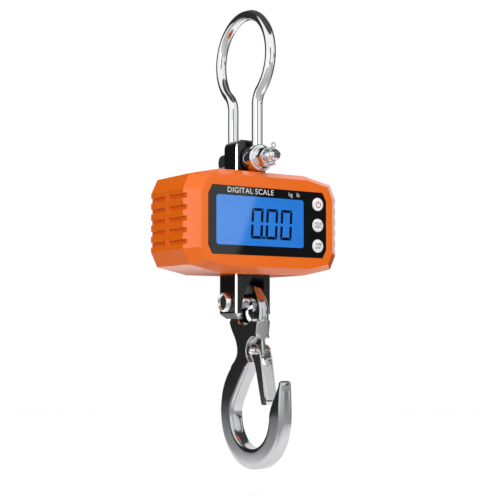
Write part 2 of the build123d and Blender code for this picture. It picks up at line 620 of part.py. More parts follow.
# ---- latch ----
def latch():
    """Stamped channel, open to the outside: two cheeks on the pin, a web at their back, a bent tongue."""
    py, pz = LATCH_PIN
    ty, tz = LATCH_TIP
    brow, foot = (py - 7.4, pz - 3.0), (ty - 0.6, tz)
    heel, toe = (py - 1.0, pz - 9.2), (ty + 4.2, tz)
    cheek = [(py + 4.6, pz + 2.0), (py + 4.4, pz - 1.4), heel, toe, foot, brow,
             (py - 4.6, pz + 2.6), (py - 1.0, pz + 4.6), (py + 2.6, pz + 4.4)]
    sheet = (LATCH_IN, LATCH_IN + LATCH_SHEET)
    parts = [plate_yz(cheek, sorted(HOOK_X + side * value for value in sheet)) for side in (-1, 1)]
    web = [heel, toe, (toe[0] - LATCH_SHEET, tz), (heel[0] - LATCH_SHEET, heel[1])]
    parts.append(plate_yz(web, (HOOK_X - sheet[1], HOOK_X + sheet[1])))
    tongue = [(ty + 0.6, tz + 3.6), (TONGUE_END[0], TONGUE_END[1] + 1.1), TONGUE_END, (ty + 0.6, tz + 2.4),
              (toe[0] - LATCH_SHEET, tz), toe, (toe[0], tz + 1.2)]
    parts.append(plate_yz(tongue, (HOOK_X - LATCH_IN, HOOK_X + LATCH_IN)))
    return union(parts) - rod_x(LATCH_PIN_R + FIT, (-20, 20), py, pz)


def latch_pin():
    """Domed head on the left, rivet head on the right."""
    outer = LATCH_IN + LATCH_SHEET + GAP
    pin = rod_x(LATCH_PIN_R, (HOOK_X - outer - 0.6, HOOK_X + outer + 0.6), *LATCH_PIN)
    head = rod_x(LATCH_HEAD_R, (HOOK_X - outer - 3.8, HOOK_X - outer), *LATCH_PIN)
    head = fillet(head.faces().sort_by(Axis.X)[0].edges(), 2.4)
    rivet = rod_x(RIVET_R, (HOOK_X + outer, HOOK_X + outer + 1.4), *LATCH_PIN)
    return pin + head + rivet


def latch_spring():
    """Envelope of the double torsion spring's two coils on the latch pin."""
    coils = []
    for side in (-1, 1):
        x = sorted((HOOK_X + side * (LUG_T / 2 + 0.3), HOOK_X + side * (LATCH_IN - 0.2)))
        coils.append(rod_x(3.1, x, *LATCH_PIN) - rod_x(2.1, (x[0] - 1, x[1] + 1), *LATCH_PIN))
    return union(coils)


# ---- all nodes ----
def build():
    shell, inner = housing_shell()
    upper_z = MID_Z + OUTLINE[2][1] - WALL_INSETS[3]
    lower_z = MID_Z - OUTLINE[2][1] + WALL_INSETS[3]
    nodes = {
        "shackle_bow": shackle_bow(),
        "shackle_pin": shackle_pin(),
        "shackle_washer": shackle_washer(),
        "shackle_nut": shackle_nut(),
        "split_pin": split_pin(),
        "load_cell": load_cell(),
        "strain_gauges": strain_gauges(),
        "cell_potting": cell_potting(),
        "cell_cable": cell_cable(),
        "cable_connector": cable_connector(),
        "battery_lead_red": battery_lead(MID_Z - 6.0),
        "battery_lead_black": battery_lead(MID_Z - 10.0),
        "front_cover": front_cover(shell, inner),
        "rear_cover": rear_cover(shell, inner),
        "housing_screws": housing_screws(),
        "cell_screws": cell_screws(),
        "gasket_top": gasket(UPPER_X, UPPER_Y, (upper_z - 2.1, upper_z - SEAM)),
        "gasket_bottom": gasket(LOWER_X, LOWER_Y, (lower_z + SEAM, lower_z + 2.1)),
        "front_panel": front_panel(),
        "display_window": display_window(),
        "lcd_glass": lcd_glass(),
        "backlight": backlight(),
        "main_board": main_board(),
        "board_chips": board_chips(),
        "board_screws": board_screws(),
        "buzzer": buzzer(),
        "tact_switches": tact_switches(),
        "battery_tray": battery_tray(),
        "contact_springs": union([contact(i, -1) for i in range(3)]),
        "contact_plates": union([contact(i, 1) for i in range(3)]),
        "battery_cover": battery_cover(),
        "hook": hook(),
        "hook_pin": hook_pin(),
        "pin_circlip": pin_circlip(),
        "hook_spacers": hook_spacers(),
        "latch": latch(),
        "latch_pin": latch_pin(),
        "latch_spring": latch_spring(),
    }
    for name, z in zip(("power", "hold", "units"), KEY_Z):
        nodes[f"key_{name}"] = key(z)
    for i in range(3):
        nodes[f"battery_cell_{i + 1}"] = battery_cell(i)
    return nodes


os.makedirs("parts", exist_ok=True)
for name, shape in build().items():
    export_step(shape, f"parts/{name}.step")
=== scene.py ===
# Hanging crane scale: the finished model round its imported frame.
# Shapes are worked out in millimetres, +Z up, front towards -Y, and become metres in tidy_mesh().
from math import atan2, cos, degrees, hypot, pi, radians, sin, sqrt

import bmesh
import bpy
from mathutils import Matrix, Vector


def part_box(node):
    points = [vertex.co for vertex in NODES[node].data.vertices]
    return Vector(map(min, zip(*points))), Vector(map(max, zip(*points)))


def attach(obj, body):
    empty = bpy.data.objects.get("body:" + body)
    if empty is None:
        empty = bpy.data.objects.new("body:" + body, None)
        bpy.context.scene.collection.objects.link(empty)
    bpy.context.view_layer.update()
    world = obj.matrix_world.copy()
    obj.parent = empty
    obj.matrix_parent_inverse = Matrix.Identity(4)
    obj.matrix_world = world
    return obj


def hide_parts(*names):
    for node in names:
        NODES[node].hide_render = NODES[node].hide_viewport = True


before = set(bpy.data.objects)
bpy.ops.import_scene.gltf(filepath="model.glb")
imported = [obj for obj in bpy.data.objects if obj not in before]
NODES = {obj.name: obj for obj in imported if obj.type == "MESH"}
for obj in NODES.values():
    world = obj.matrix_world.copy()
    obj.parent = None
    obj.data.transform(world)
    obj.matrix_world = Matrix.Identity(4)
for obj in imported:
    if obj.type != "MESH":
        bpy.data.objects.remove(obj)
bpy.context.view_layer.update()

MM = 0.001


def span(node):
    """Lowest and highest corner of a CAD node, in millimetres."""
    low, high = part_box(node)
    return Vector(low) / MM, Vector(high) / MM


# ---- sizes, in millimetres ----
ROD_R, BOW_R, WAIST_R, LEG_Y = 4.0, 32.0, 15.0, 15.5
EYE_R, EYE_Y = 9.8, (9.6, 21.4)
PIN_Z = -102.0
PIN_R, PIN_END_Y = 4.0, span("shackle_pin")[0].y
THREAD_DEPTH, THREAD_PITCH = 0.55, 1.25
NUT_Y = (span("shackle_nut")[0].y, span("shackle_nut")[1].y)
NUT_FLATS = 13.0
SPLIT_Y = -35.6

MID_Z = -148.5
FACE_Y = span("front_cover")[0].y
WINDOW_LOW, WINDOW_HIGH = span("display_window")
KEY_X = 42.4
KEY_Z = {"power": -133.5, "hold": -148.6, "units": -163.5}
KEY_FRONT = span("key_power")[0].y
SIDE_GROOVE = 2.1          # the housing's outer skin, grooves included
REAR_FACE = 0.05           # edges this near the rear face stay sharp: the screw recesses almost meet its rim
SHELL_ROUND = 0.30

HOOK_X, HOOK_PIN_Z = 4.0, -204.0
LATCH_PIN = (-13.2, -238.3)
LATCH_IN, LATCH_SHEET = 4.1, 1.1
LATCH_TIP = (-26.5, -276.0)
TONGUE_END = (-33.8, -273.2)
LUG_HALF = 1.6
SPRING_GAP = 0.3
NECK_ROUNDS, BOWL_ROUNDS, BOWL_TOP = 26, 30, -250.0
LUG_ROOM, HOOK_BORE = 11.5, 5.06
TIP_FROM, TIP_LENGTH, TIP_DRAW = (-26.0, -285.0), 27.0, 0.22
NECK_FRONT, NECK_LOW, NECK_CROWN = -8.0, -231.0, 1.3
EYE_LOW, EYE_HALF, NECK_HALF = HOOK_PIN_Z - 13.0, 4.0, 5.5

# The load cell: half its width and depth at the top, what the lower block adds, and its two kinds of corner.
BAR_HALF, BAR_DEPTH, BAR_WIDER, BAR_DEEPER = 13.0, 8.3, 2.0, 2.7
BAR_BEVEL, BAR_STEP_Z, BAR_CORNER_R, BAR_CORNER_Z = 1.0, -179.0, 6.0, -94.0
FOOT_CHAMFER_Y, FOOT_CHAMFER_X = 222.84, 226.7
EDGE = 0.02


# ---- node trees ----
class Socket:
    """An output socket. Arithmetic on it adds Math nodes to its tree."""

    def __init__(self, graph, link):
        self.graph, self.link = graph, link

    def math(self, operation, *values):
        return self.graph.add("ShaderNodeMath", {"operation": operation}, dict(enumerate(values)))

    def __add__(self, other):
        return self.math("ADD", self, other)

    def __sub__(self, other):
        return self.math("SUBTRACT", self, other)

    def __rsub__(self, other):
        return self.math("SUBTRACT", other, self)

    def __mul__(self, other):
        return self.math("MULTIPLY", self, other)

    def __truediv__(self, other):
        return self.math("DIVIDE", self, other)

    def __gt__(self, other):
        return self.math("GREATER_THAN", self, other)

    def __lt__(self, other):
        return self.math("LESS_THAN", self, other)

    def __abs__(self):
        return self.math("ABSOLUTE", self)

    def above(self, other):
        return self.math("MAXIMUM", self, other)

    def root(self):
        return self.math("SQRT", self)

    __radd__, __rmul__ = __add__, __mul__


class Graph:
    """A node tree that is filled one node at a time."""

    def __init__(self, tree):
        self.tree = tree

    def add(self, kind, settings=None, inputs=None, output=0):
        """Adds a node: its settings first, then the values or links of its sockets."""
        node = self.tree.nodes.new(kind)
        for key, value in (settings or {}).items():
            setattr(node, key, value)
        for key, value in (inputs or {}).items():
            if isinstance(value, Socket):
                self.tree.links.new(value.link, node.inputs[key])
            else:
                node.inputs[key].default_value = value
        return Socket(self, node.outputs[output]) if node.outputs else node

    def band(self, value, low, high):
        """0 below low, 1 above high, straight between them."""
        return self.add("ShaderNodeMapRange", None, {"Value": value, "From Min": low, "From Max": high})


class Finish(Graph):
    """One material. Its patterns read Object coordinates, in millimetres."""

    def __init__(self, name):
        self.material = bpy.data.materials.new(name)
        self.material.use_nodes = True
        super().__init__(self.material.node_tree)
        self.tree.nodes.clear()
        self.place = self.scaled(1.0)

    def scaled(self, x, y=None, z=None):
        """Object coordinates in millimetres, stretched along each axis."""
        factors = (x / MM, (x if y is None else y) / MM, (x if z is None else z) / MM)
        source = self.add("ShaderNodeTexCoord", output=3)
        return self.add("ShaderNodeVectorMath", {"operation": "MULTIPLY"}, {0: source, 1: factors})

    def noise(self, size, detail=3.0, rough=0.55, place=None):
        """Soft noise whose lumps are about size millimetres, from 0 to 1."""
        return self.add("ShaderNodeTexNoise", None, {"Vector": place or self.place, "Scale": 1.0 / size,
                                                     "Detail": detail, "Roughness": rough})

    def axes(self):
        node = self.add("ShaderNodeSeparateXYZ", None, {0: self.place}).link.node
        return [Socket(self, output) for output in node.outputs]

    def mix(self, factor, first, second):
        first, second = [c if isinstance(c, Socket) else (*c, 1.0) for c in (first, second)]
        return self.add("ShaderNodeMix", {"data_type": "RGBA"}, {0: factor, 6: first, 7: second}, output=2)

    def bump(self, height, depth):
        """Relief of that depth in millimetres."""
        return self.add("ShaderNodeBump", None, {"Height": height, "Distance": depth * MM, "Strength": 1.0})

    def surface(self, colour, rough, bump=None, **others):
        """A Principled surface; others are its sockets, with _ for a space."""
        inputs = {"Base Color": colour if isinstance(colour, Socket) else (*colour, 1.0), "Roughness": rough}
        inputs.update({key.replace("_", " "): value for key, value in others.items()})
        if bump is not None:
            inputs["Normal"] = bump
        return self.output(self.add("ShaderNodeBsdfPrincipled", None, inputs))

    def output(self, shader):
        self.add("ShaderNodeOutputMaterial", None, {"Surface": shader})
        return self.material


# ---- finishes, named as the record's slots are ----
def moulded(name, colour, rough, grain=0.35, depth=0.012, **others):
    """Moulded plastic: a fine spark-eroded grain and slow changes of tone and gloss."""
    f = Finish(name)
    tone = f.noise(18.0, detail=2.0)
    dark = tuple(0.9 * c for c in colour)
    gloss = rough - 0.03 + 0.06 * f.noise(6.0)
    return f.surface(f.mix(tone, dark, colour), gloss, f.bump(f.noise(grain, detail=2.0), depth), **others)


def orange_shell():
    """Semi-gloss orange whose tone changes a little at random."""
    f = Finish("orange_shell")
    tone = f.noise(22.0, detail=2.0)
    speck = f.noise(0.5, detail=1.0)
    colour = f.mix(0.6 * tone + 0.4 * speck, (0.80, 0.130, 0.003), (0.88, 0.160, 0.005))
    gloss = 0.15 + 0.06 * f.noise(5.0) + 0.03 * speck
    grain = 0.7 * f.noise(0.45, detail=2.0) + 0.3 * f.noise(1.6)
    return f.surface(colour, gloss, f.bump(grain, 0.006))


def metal(name, colour, rough, smudge=0.05, scratch=(0.25, 0.25, 6.0), depth=0.002):
    """Bare or plated metal: faint handling marks and fine lines along one axis."""
    f = Finish(name)
    marks = f.noise(9.0, detail=4.0)
    lines = f.noise(1.0, detail=4.0, place=f.scaled(*(1.0 / s for s in scratch)))
    dark = tuple(0.88 * c for c in colour)
    gloss = rough + smudge * marks + 0.5 * smudge * lines
    return f.surface(f.mix(marks, dark, colour), gloss, f.bump(lines, depth), Metallic=1.0)


def polished_steel():
    """Forged and polished: slow waves left by grinding, fine lines across the section, dull spots."""
    f = Finish("polished_steel")
    waves = f.noise(11.0, detail=2.0)
    lines = f.noise(1.0, detail=5.0, place=f.scaled(0.25, 2.2, 2.2))
    spots = f.band(f.noise(2.6, detail=5.0, rough=0.7), 0.62, 0.75)
    colour = f.mix(0.5 * waves + 0.5 * lines, (0.50, 0.505, 0.52), (0.62, 0.62, 0.63))
    gloss = 0.07 + 0.05 * waves + 0.04 * lines + 0.06 * spots
    relief = 0.8 * waves + 0.03 * lines
    return f.surface(colour, gloss, f.bump(relief, 0.03), Metallic=1.0)


def chrome():
    """Bright plating with the faintest orange peel and a little haze."""
    f = Finish("chrome")
    haze = f.noise(7.0, detail=4.0)
    peel = f.noise(2.2, detail=1.0)
    colour = f.mix(haze, (0.86, 0.865, 0.88), (0.93, 0.935, 0.945))
    return f.surface(colour, 0.025 + 0.05 * haze, f.bump(peel, 0.0025), Metallic=1.0)


def painted_edge_highlight(f):
    """1 on the load cell's bevels and on the front and back chamfers at its bottom, where bright metal is a
    painted highlight.
    """
    x, y, z = f.axes()
    low = z < BAR_STEP_Z
    beside = (abs(x) - BAR_WIDER * low - (BAR_HALF - BAR_CORNER_R)).above(0.0)
    over = (z - BAR_CORNER_Z).above(0.0)
    corner = (beside * beside + over * over).root() > BAR_CORNER_R - BAR_BEVEL + EDGE
    bevel = corner * (abs(y) - BAR_DEEPER * low > BAR_DEPTH - BAR_BEVEL + EDGE)
    chamfer = (abs(y) - z > FOOT_CHAMFER_Y) * (abs(x) - z < FOOT_CHAMFER_X) * low
    return bevel.above(chamfer)


def black_coated_steel():
    """Satin black coat; its bevels and chamfers get bright metal as a painted highlight, which still mirrors
    the lamps.
    """
    f = Finish("black_coated_steel")
    # painted highlight: bright metal on the bevels and chamfers, so that they read as lit edges
    highlight = painted_edge_highlight(f)
    powder = f.noise(0.35, detail=3.0)
    tone = f.noise(8.0)
    coat = f.mix(tone, (0.004, 0.004, 0.005), (0.009, 0.009, 0.011))
    gloss = (0.16 + 0.05 * tone + 0.02 * powder) * (1.0 - 0.4 * highlight)
    colour = f.mix(highlight, coat, (0.86, 0.86, 0.87))
    return f.surface(colour, gloss, f.bump(powder, 0.002), IOR=1.55, Metallic=highlight)


def black_panel():
    """Printed film: glossy black with faint dust and rub marks."""
    f = Finish("black_panel")
    rub = f.noise(1.0, detail=5.0, place=f.scaled(0.03, 0.2, 0.5))
    colour = f.mix(f.noise(0.8, detail=2.0), (0.0045, 0.0048, 0.0055), (0.008, 0.0085, 0.0095))
    return f.surface(colour, 0.015 + 0.03 * rub, f.bump(rub, 0.0003))


def lcd():
    """Backlit blue display: brighter towards the light guide's edge, with a faint dot pitch."""
    f = Finish("lcd")
    x, _, z = f.axes()
    along = f.band(x, WINDOW_LOW.x, WINDOW_HIGH.x)
    dots = f.noise(0.5, detail=1.0)
    glow = f.mix(along, (0.022, 0.215, 0.72), (0.012, 0.185, 0.68))
    glow = f.mix(0.12 * dots, glow, (0.10, 0.36, 0.90))
    edge = abs(z - MID_Z) / 22.0
    glow = f.mix(0.12 * edge * edge, glow, (0.0, 0.10, 0.45))
    return f.surface((0.01, 0.03, 0.08), 0.3 + 0.05 * dots, Emission_Color=glow, Emission_Strength=1.0,
                     Specular_IOR_Level=0.1)


def clear_window():
    """Clear sheet with the slightest haze."""
    f = Finish("clear_window")
    haze = f.noise(12.0, detail=4.0)
    return f.surface(f.mix(haze, (0.97, 0.985, 1.0), (1.0, 1.0, 1.0)), 0.01 + 0.02 * haze,
                     Transmission_Weight=1.0, IOR=1.5)


def circuit_board():
    """Green resist over copper tracks that run along and across."""
    f = Finish("circuit_board")
    x, _, z = f.axes()
    across = f.add("ShaderNodeCombineXYZ", None, {0: x, 1: z, 2: 0.0})
    black, white = (0, 0, 0, 1), (1, 1, 1, 1)
    tracks = f.add("ShaderNodeTexBrick", {"offset": 0.37, "squash": 0.6},
                   {"Vector": across, "Scale": 0.32, "Mortar Size": 0.05,
                    "Color1": black, "Color2": black, "Mortar": white})
    resist = f.mix(f.noise(3.0), (0.006, 0.07, 0.022), (0.010, 0.10, 0.032))
    return f.surface(f.mix(0.45 * tracks, resist, (0.05, 0.26, 0.07)), 0.25 + 0.1 * f.noise(2.0),
                     f.bump(tracks, 0.02), Coat_Weight=0.4)


def gauge_foil():
    """Etched foil grid on an amber film."""
    f = Finish("gauge_foil")
    film = f.mix(f.noise(1.5), (0.50, 0.26, 0.05), (0.62, 0.36, 0.09))
    grid = f.add("ShaderNodeTexWave", {"wave_type": "BANDS", "bands_direction": "Z"},
                 {"Vector": f.place, "Scale": 1.2, "Distortion": 0.3}, output=1) > 0.6
    colour = f.mix(grid, film, (0.75, 0.45, 0.25))
    return f.surface(colour, 0.35 + 0.1 * f.noise(0.8), Metallic=0.5 * grid)


def cell_jacket():
    """Printed jacket of a dry cell: a dark green body and a pale band at one end."""
    f = Finish("cell_jacket")
    x, _, _ = f.axes()
    body = f.mix(f.noise(4.0), (0.012, 0.085, 0.035), (0.018, 0.12, 0.05))
    band = f.band(abs(x), 12.0, 12.2)
    return f.surface(f.mix(band, body, (0.70, 0.62, 0.35)), 0.18 + 0.08 * f.noise(3.0), Metallic=0.25)


def digit_ink():
    """The display's dark segments, their tone changing a little at random."""
    f = Finish("segment_blue")
    tone = f.noise(1.2)
    return f.surface(f.mix(tone, (0.0008, 0.003, 0.018), (0.001, 0.005, 0.026)), 0.35 + 0.1 * tone,
                     Specular_IOR_Level=0.0)


def ink(name, colour, rough=0.4):
    """Screen-printed ink with slightly uneven cover."""
    f = Finish(name)
    cover = f.noise(0.6, detail=3.0)
    thin = tuple(0.8 * c for c in colour)
    return f.surface(f.mix(cover, thin, colour), rough + 0.1 * cover)


FINISH = {
    "orange_shell": orange_shell(),
    "black_coated_steel": black_coated_steel(),
    "chrome": chrome(),
    "polished_steel": polished_steel(),
    "latch_steel": metal("latch_steel", (0.78, 0.78, 0.79), 0.10, scratch=(6.0, 0.3, 0.3)),
    "zinc_steel": metal("zinc_steel", (0.68, 0.69, 0.71), 0.24, smudge=0.12),
    "nickel": metal("nickel", (0.70, 0.67, 0.60), 0.16, smudge=0.08),
    "gauge_foil": gauge_foil(),
    "sealant": moulded("sealant", (0.74, 0.74, 0.70), 0.45, grain=1.5, depth=0.05),
    "seal_rubber": moulded("seal_rubber", (0.022, 0.022, 0.023), 0.60, grain=0.5, depth=0.02),
    "cable_sheath": moulded("cable_sheath", (0.025, 0.025, 0.027), 0.42, grain=0.6, depth=0.01),
    "red_wire": moulded("red_wire", (0.50, 0.015, 0.012), 0.38, grain=0.6, depth=0.01),
    "white_nylon": moulded("white_nylon", (0.76, 0.74, 0.68), 0.40),
    "black_panel": black_panel(),
    "clear_window": clear_window(),
    "lcd": lcd(),
    "light_guide": moulded("light_guide", (0.84, 0.87, 0.90), 0.22, grain=0.8, depth=0.01),
    "circuit_board": circuit_board(),
    "black_epoxy": moulded("black_epoxy", (0.018, 0.018, 0.019), 0.50, grain=0.25),
    "black_plastic": moulded("black_plastic", (0.020, 0.020, 0.021), 0.38, grain=0.4),
    "cell_jacket": cell_jacket(),
    "white_key": moulded("white_key", (0.93, 0.93, 0.92), 0.22, grain=0.5, depth=0.006, Coat_Weight=0.3),
    "segment_blue": digit_ink(),
    "white_print": ink("white_print", (0.80, 0.80, 0.80)),
    "grey_print": ink("grey_print", (0.16, 0.16, 0.17)),
    "red_print": ink("red_print", (0.42, 0.012, 0.02)),
}


# ---- mesh helpers, in millimetres ----
def tidy_mesh(shape, name, crease=35.0):
    """Turns a finished bmesh into a smooth-shaded mesh in metres, its faces outwards."""
    bmesh.ops.recalc_face_normals(shape, faces=shape.faces)
    shape.transform(Matrix.Scale(MM, 4))
    mesh = bpy.data.meshes.new(name)
    shape.to_mesh(mesh)
    shape.free()
    mesh.shade_smooth()
    mesh.set_sharp_from_angle(angle=radians(crease))
    return mesh


def from_mesh(mesh):
    shape = bmesh.new()
    shape.from_mesh(mesh)
    shape.transform(Matrix.Scale(1.0 / MM, 4))
    return shape


def cad_copy(node):
    """A CAD node's mesh, merged, with its flat faces whole again."""
    shape = from_mesh(NODES[node].data)
    bmesh.ops.remove_doubles(shape, verts=shape.verts, dist=0.001)
    bmesh.ops.dissolve_limit(shape, angle_limit=radians(0.4), verts=shape.verts, edges=shape.edges)
    return shape


def round_edges(shape, width, segments=2, sharper=30.0, wanted=None, clamp=True):
    """Rounds each edge sharper than an angle, or of those the wanted ones."""
    least = radians(sharper)
    edges = [e for e in shape.edges if len(e.link_faces) == 2 and e.calc_face_angle(0.0) > least]
    if wanted:
        edges = [e for e in edges if wanted((e.verts[0].co + e.verts[1].co) / 2, e)]
    bmesh.ops.bevel(shape, geom=edges, offset=width, segments=segments, profile=0.5, affect="EDGES",
                    clamp_overlap=clamp, loop_slide=True)
    bmesh.ops.remove_doubles(shape, verts=shape.verts, dist=0.0005)
    return shape


def soften(corners, steps=5):
    """Closed outline through (u, v, reach) corners, each rounded off over its reach."""
    result = []
    for i, (u, v, reach) in enumerate(corners):
        here = Vector((u, v))
        before = Vector(corners[i - 1][:2]) - here
        after = Vector(corners[(i + 1) % len(corners)][:2]) - here
        if reach <= 0.0:
            result.append((u, v))
            continue
        start = here + before.normalized() * min(reach, 0.49 * before.length)
        end = here + after.normalized() * min(reach, 0.49 * after.length)
        for k in range(steps + 1):
            t = k / steps
            point = start * (1 - t) ** 2 + here * 2 * t * (1 - t) + end * t ** 2
            result.append((point.x, point.y))
    return result


def placed(axis, along, u, v):
    """The point at u, v round an axis, that far along it."""
    return {"X": (along, u, v), "Y": (u, along, v), "Z": (u, v, along)}[axis]


def lathe(profile, axis, centre=(0.0, 0.0), steps=72, shape=None):
    """Turned solid: a closed loop of (radius, place along the axis), or one from pole to pole."""
    shape = shape or bmesh.new()
    rings = []
    for radius, along in profile:
        count = steps if radius > 1e-6 else 1
        turns = [2 * pi * k / steps for k in range(count)]
        spots = [(centre[0] + radius * cos(t), centre[1] + radius * sin(t)) for t in turns]
        rings.append([shape.verts.new(placed(axis, along, u, v)) for u, v in spots])
    for ring, after in zip(rings, rings[1:] + rings[:1]):
        if len(ring) == len(after) == 1:
            continue
        for k in range(steps):
            j = (k + 1) % steps
            corners = ring[k % len(ring)], ring[j % len(ring)], after[j % len(after)], after[k % len(after)]
            shape.faces.new(list(dict.fromkeys(corners)))
    return shape


def plate(outline, low, high, axis="X", shape=None):
    """Prism along an axis between two places, from a closed outline."""
    shape = shape or bmesh.new()
    rows = [[shape.verts.new(placed(axis, along, u, v)) for u, v in outline] for along in (low, high)]
    shape.faces.new(rows[0])
    shape.faces.new(rows[1][::-1])
    for i in range(len(outline)):
        j = (i + 1) % len(outline)
        shape.faces.new((rows[0][i], rows[0][j], rows[1][j], rows[1][i]))
    return shape


def tube(points, radius, sides=32, shape=None):
    """Round bar along a path, with flat ends."""
    shape = shape or bmesh.new()
    points = [Vector(p) for p in points]
    side = (points[1] - points[0]).orthogonal().normalized()
    rings = []
    for i, point in enumerate(points):
        along = (points[min(i + 1, len(points) - 1)] - points[max(i - 1, 0)]).normalized()
        side = (side - along * side.dot(along)).normalized()
        other = along.cross(side)
        rings.append([shape.verts.new(point + radius * (side * cos(t) + other * sin(t)))
                      for t in (2 * pi * k / sides for k in range(sides))])
    for ring, after in zip(rings, rings[1:]):
        for k in range(sides):
            j = (k + 1) % sides
            shape.faces.new((ring[k], ring[j], after[j], after[k]))
    shape.faces.new(rings[0][::-1])
    shape.faces.new(rings[-1])
    return shape


def arc(centre, radius, start, stop, steps):
    """Points in Y and Z round a centre, angles in degrees from +Y."""
    angles = [radians(start + (stop - start) * k / steps) for k in range(steps + 1)]
    return [(centre[0] + radius * cos(a), centre[1] + radius * sin(a)) for a in angles]


def evaluated(obj):
    """An object's mesh with its modifiers applied, and the object cleared away."""
    bpy.context.view_layer.update()
    final = obj.evaluated_get(bpy.context.evaluated_depsgraph_get())
    mesh = bpy.data.meshes.new_from_object(final)
    bpy.data.objects.remove(obj)
    return mesh


def loose(mesh, name="work"):
    obj = bpy.data.objects.new(name, mesh)
    bpy.context.scene.collection.objects.link(obj)
    return obj


def combined(first, second, operation="UNION"):
    """Boolean of two closed shapes."""
    base, tool = loose(tidy_mesh(first, "base")), loose(tidy_mesh(second, "tool"))
    step = base.modifiers.new("join", "BOOLEAN")
    step.operation, step.solver, step.object = operation, "EXACT", tool
    shape = from_mesh(evaluated(base))
    bpy.data.objects.remove(tool)
    bmesh.ops.remove_doubles(shape, verts=shape.verts, dist=0.002)
    bmesh.ops.dissolve_degenerate(shape, edges=shape.edges, dist=0.001)
    return shape


def piece(name, shape, finish, body, stands_for=(), even=False, crease=35.0):
    """Adds a piece that rides on a body; even keeps flat faces flat beside rounded edges."""
    obj = loose(tidy_mesh(shape, name, crease), name)
    obj.data.materials.clear()
    obj.data.materials.append(FINISH[finish])
    if even:
        step = obj.modifiers.new("even_normals", "WEIGHTED_NORMAL")
        step.keep_sharp = True
    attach(obj, body)
    if stands_for:
        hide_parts(*stands_for)


# ---- grown pieces: coils, threads and what repeats ----
def growth(name, inputs):
    """An empty Geometry Nodes tree with named inputs: its graph and the input sockets by name."""
    tree = bpy.data.node_groups.new(name, "GeometryNodeTree")
    tree.interface.new_socket("Geometry", in_out="OUTPUT", socket_type="NodeSocketGeometry")
    for title, kind in [("Geometry", "Geometry")] + inputs:
        tree.interface.new_socket(title, in_out="INPUT", socket_type="NodeSocket" + kind)
    graph = Graph(tree)
    source = graph.add("NodeGroupInput").link.node
    titles = [title for title, _ in inputs] + ["Geometry"]
    return graph, {title: Socket(graph, source.outputs[title]) for title in titles}


def finish_growth(graph, geometry, material):
    geometry = graph.add("GeometryNodeRealizeInstances", None, {"Geometry": geometry})
    geometry = graph.add("GeometryNodeSetMaterial", None, {"Geometry": geometry, "Material": material})
    graph.add("NodeGroupOutput", None, {0: geometry})
    return graph.tree


def coil_tree():
    """Helical wire up +Z from the origin; a wire with 3 or 4 sides is a screw thread."""
    graph, given = growth("coil", [("Turns", "Float"), ("Pitch", "Float"), ("Bottom Radius", "Float"),
                                   ("Top Radius", "Float"), ("Wire Radius", "Float"), ("Wire Sides", "Int"),
                                   ("Steps", "Int"), ("Finish", "Material")])
    height = given["Turns"] * given["Pitch"]
    line = graph.add("GeometryNodeCurveSpiral", None,
                     {"Resolution": given["Steps"], "Rotations": given["Turns"], "Height": height,
                      "Start Radius": given["Bottom Radius"], "End Radius": given["Top Radius"]})
    section = graph.add("GeometryNodeCurvePrimitiveCircle", {"mode": "RADIUS"},
                        {"Resolution": given["Wire Sides"], "Radius": given["Wire Radius"]})
    wire = graph.add("GeometryNodeCurveToMesh", None,
                     {"Curve": line, "Profile Curve": section, "Fill Caps": True})
    return finish_growth(graph, wire, given["Finish"])


def scatter_tree():
    """The master object at every vertex."""
    graph, given = growth("scatter", [("Master", "Object"), ("Finish", "Material")])
    master = graph.add("GeometryNodeObjectInfo", {"transform_space": "ORIGINAL"},
                       {"Object": given["Master"], "As Instance": True}, output=4)
    copies = graph.add("GeometryNodeInstanceOnPoints", None,
                       {"Points": given["Geometry"], "Instance": master})
    return finish_growth(graph, copies, given["Finish"])


COIL, SCATTER = coil_tree(), scatter_tree()


def grown(tree, points, **values):
    """A tree's result on a mesh of single points, as a bmesh in millimetres."""
    host = loose(bpy.data.meshes.new("host"))
    host.data.from_pydata([Vector(p) * MM for p in points], [], [])
    step = host.modifiers.new("grow", "NODES")
    step.node_group = tree
    for item in tree.interface.items_tree:
        key = item.name.replace(" ", "_").lower()
        if item.in_out == "INPUT" and key in values:
            step[item.identifier] = values[key]
    return from_mesh(evaluated(host))


def coil(turns, pitch, bottom, top, wire, finish, sides=16, steps=40):
    """One wire of the COIL tree, sizes in millimetres."""
    return grown(COIL, [(0, 0, 0)], turns=float(turns), pitch=pitch * MM, bottom_radius=bottom * MM,
                 top_radius=top * MM, wire_radius=wire * MM, wire_sides=sides, steps=steps,
                 finish=FINISH[finish])


def scattered(master, points, finish):
    """A bmesh repeated at each point by the SCATTER tree."""
    original = loose(tidy_mesh(master, "master"))
    shape = grown(SCATTER, points, master=original, finish=FINISH[finish])
    bpy.data.objects.remove(original)
    return shape


def merged(shape, other, matrix=None):
    """Adds a second bmesh to the first, moved by a matrix."""
    if matrix:
        other.transform(matrix)
    mesh = bpy.data.meshes.new("part")
    other.to_mesh(mesh)
    other.free()
    shape.from_mesh(mesh)
    bpy.data.meshes.remove(mesh)
    return shape


ALONG_Y = Matrix.Rotation(radians(-90), 4, "X")      # +Z becomes +Y
ALONG_X = Matrix.Rotation(radians(90), 4, "Y")       # +Z becomes +X
AGAINST_X = Matrix.Rotation(radians(-90), 4, "Y")    # +Z becomes -X


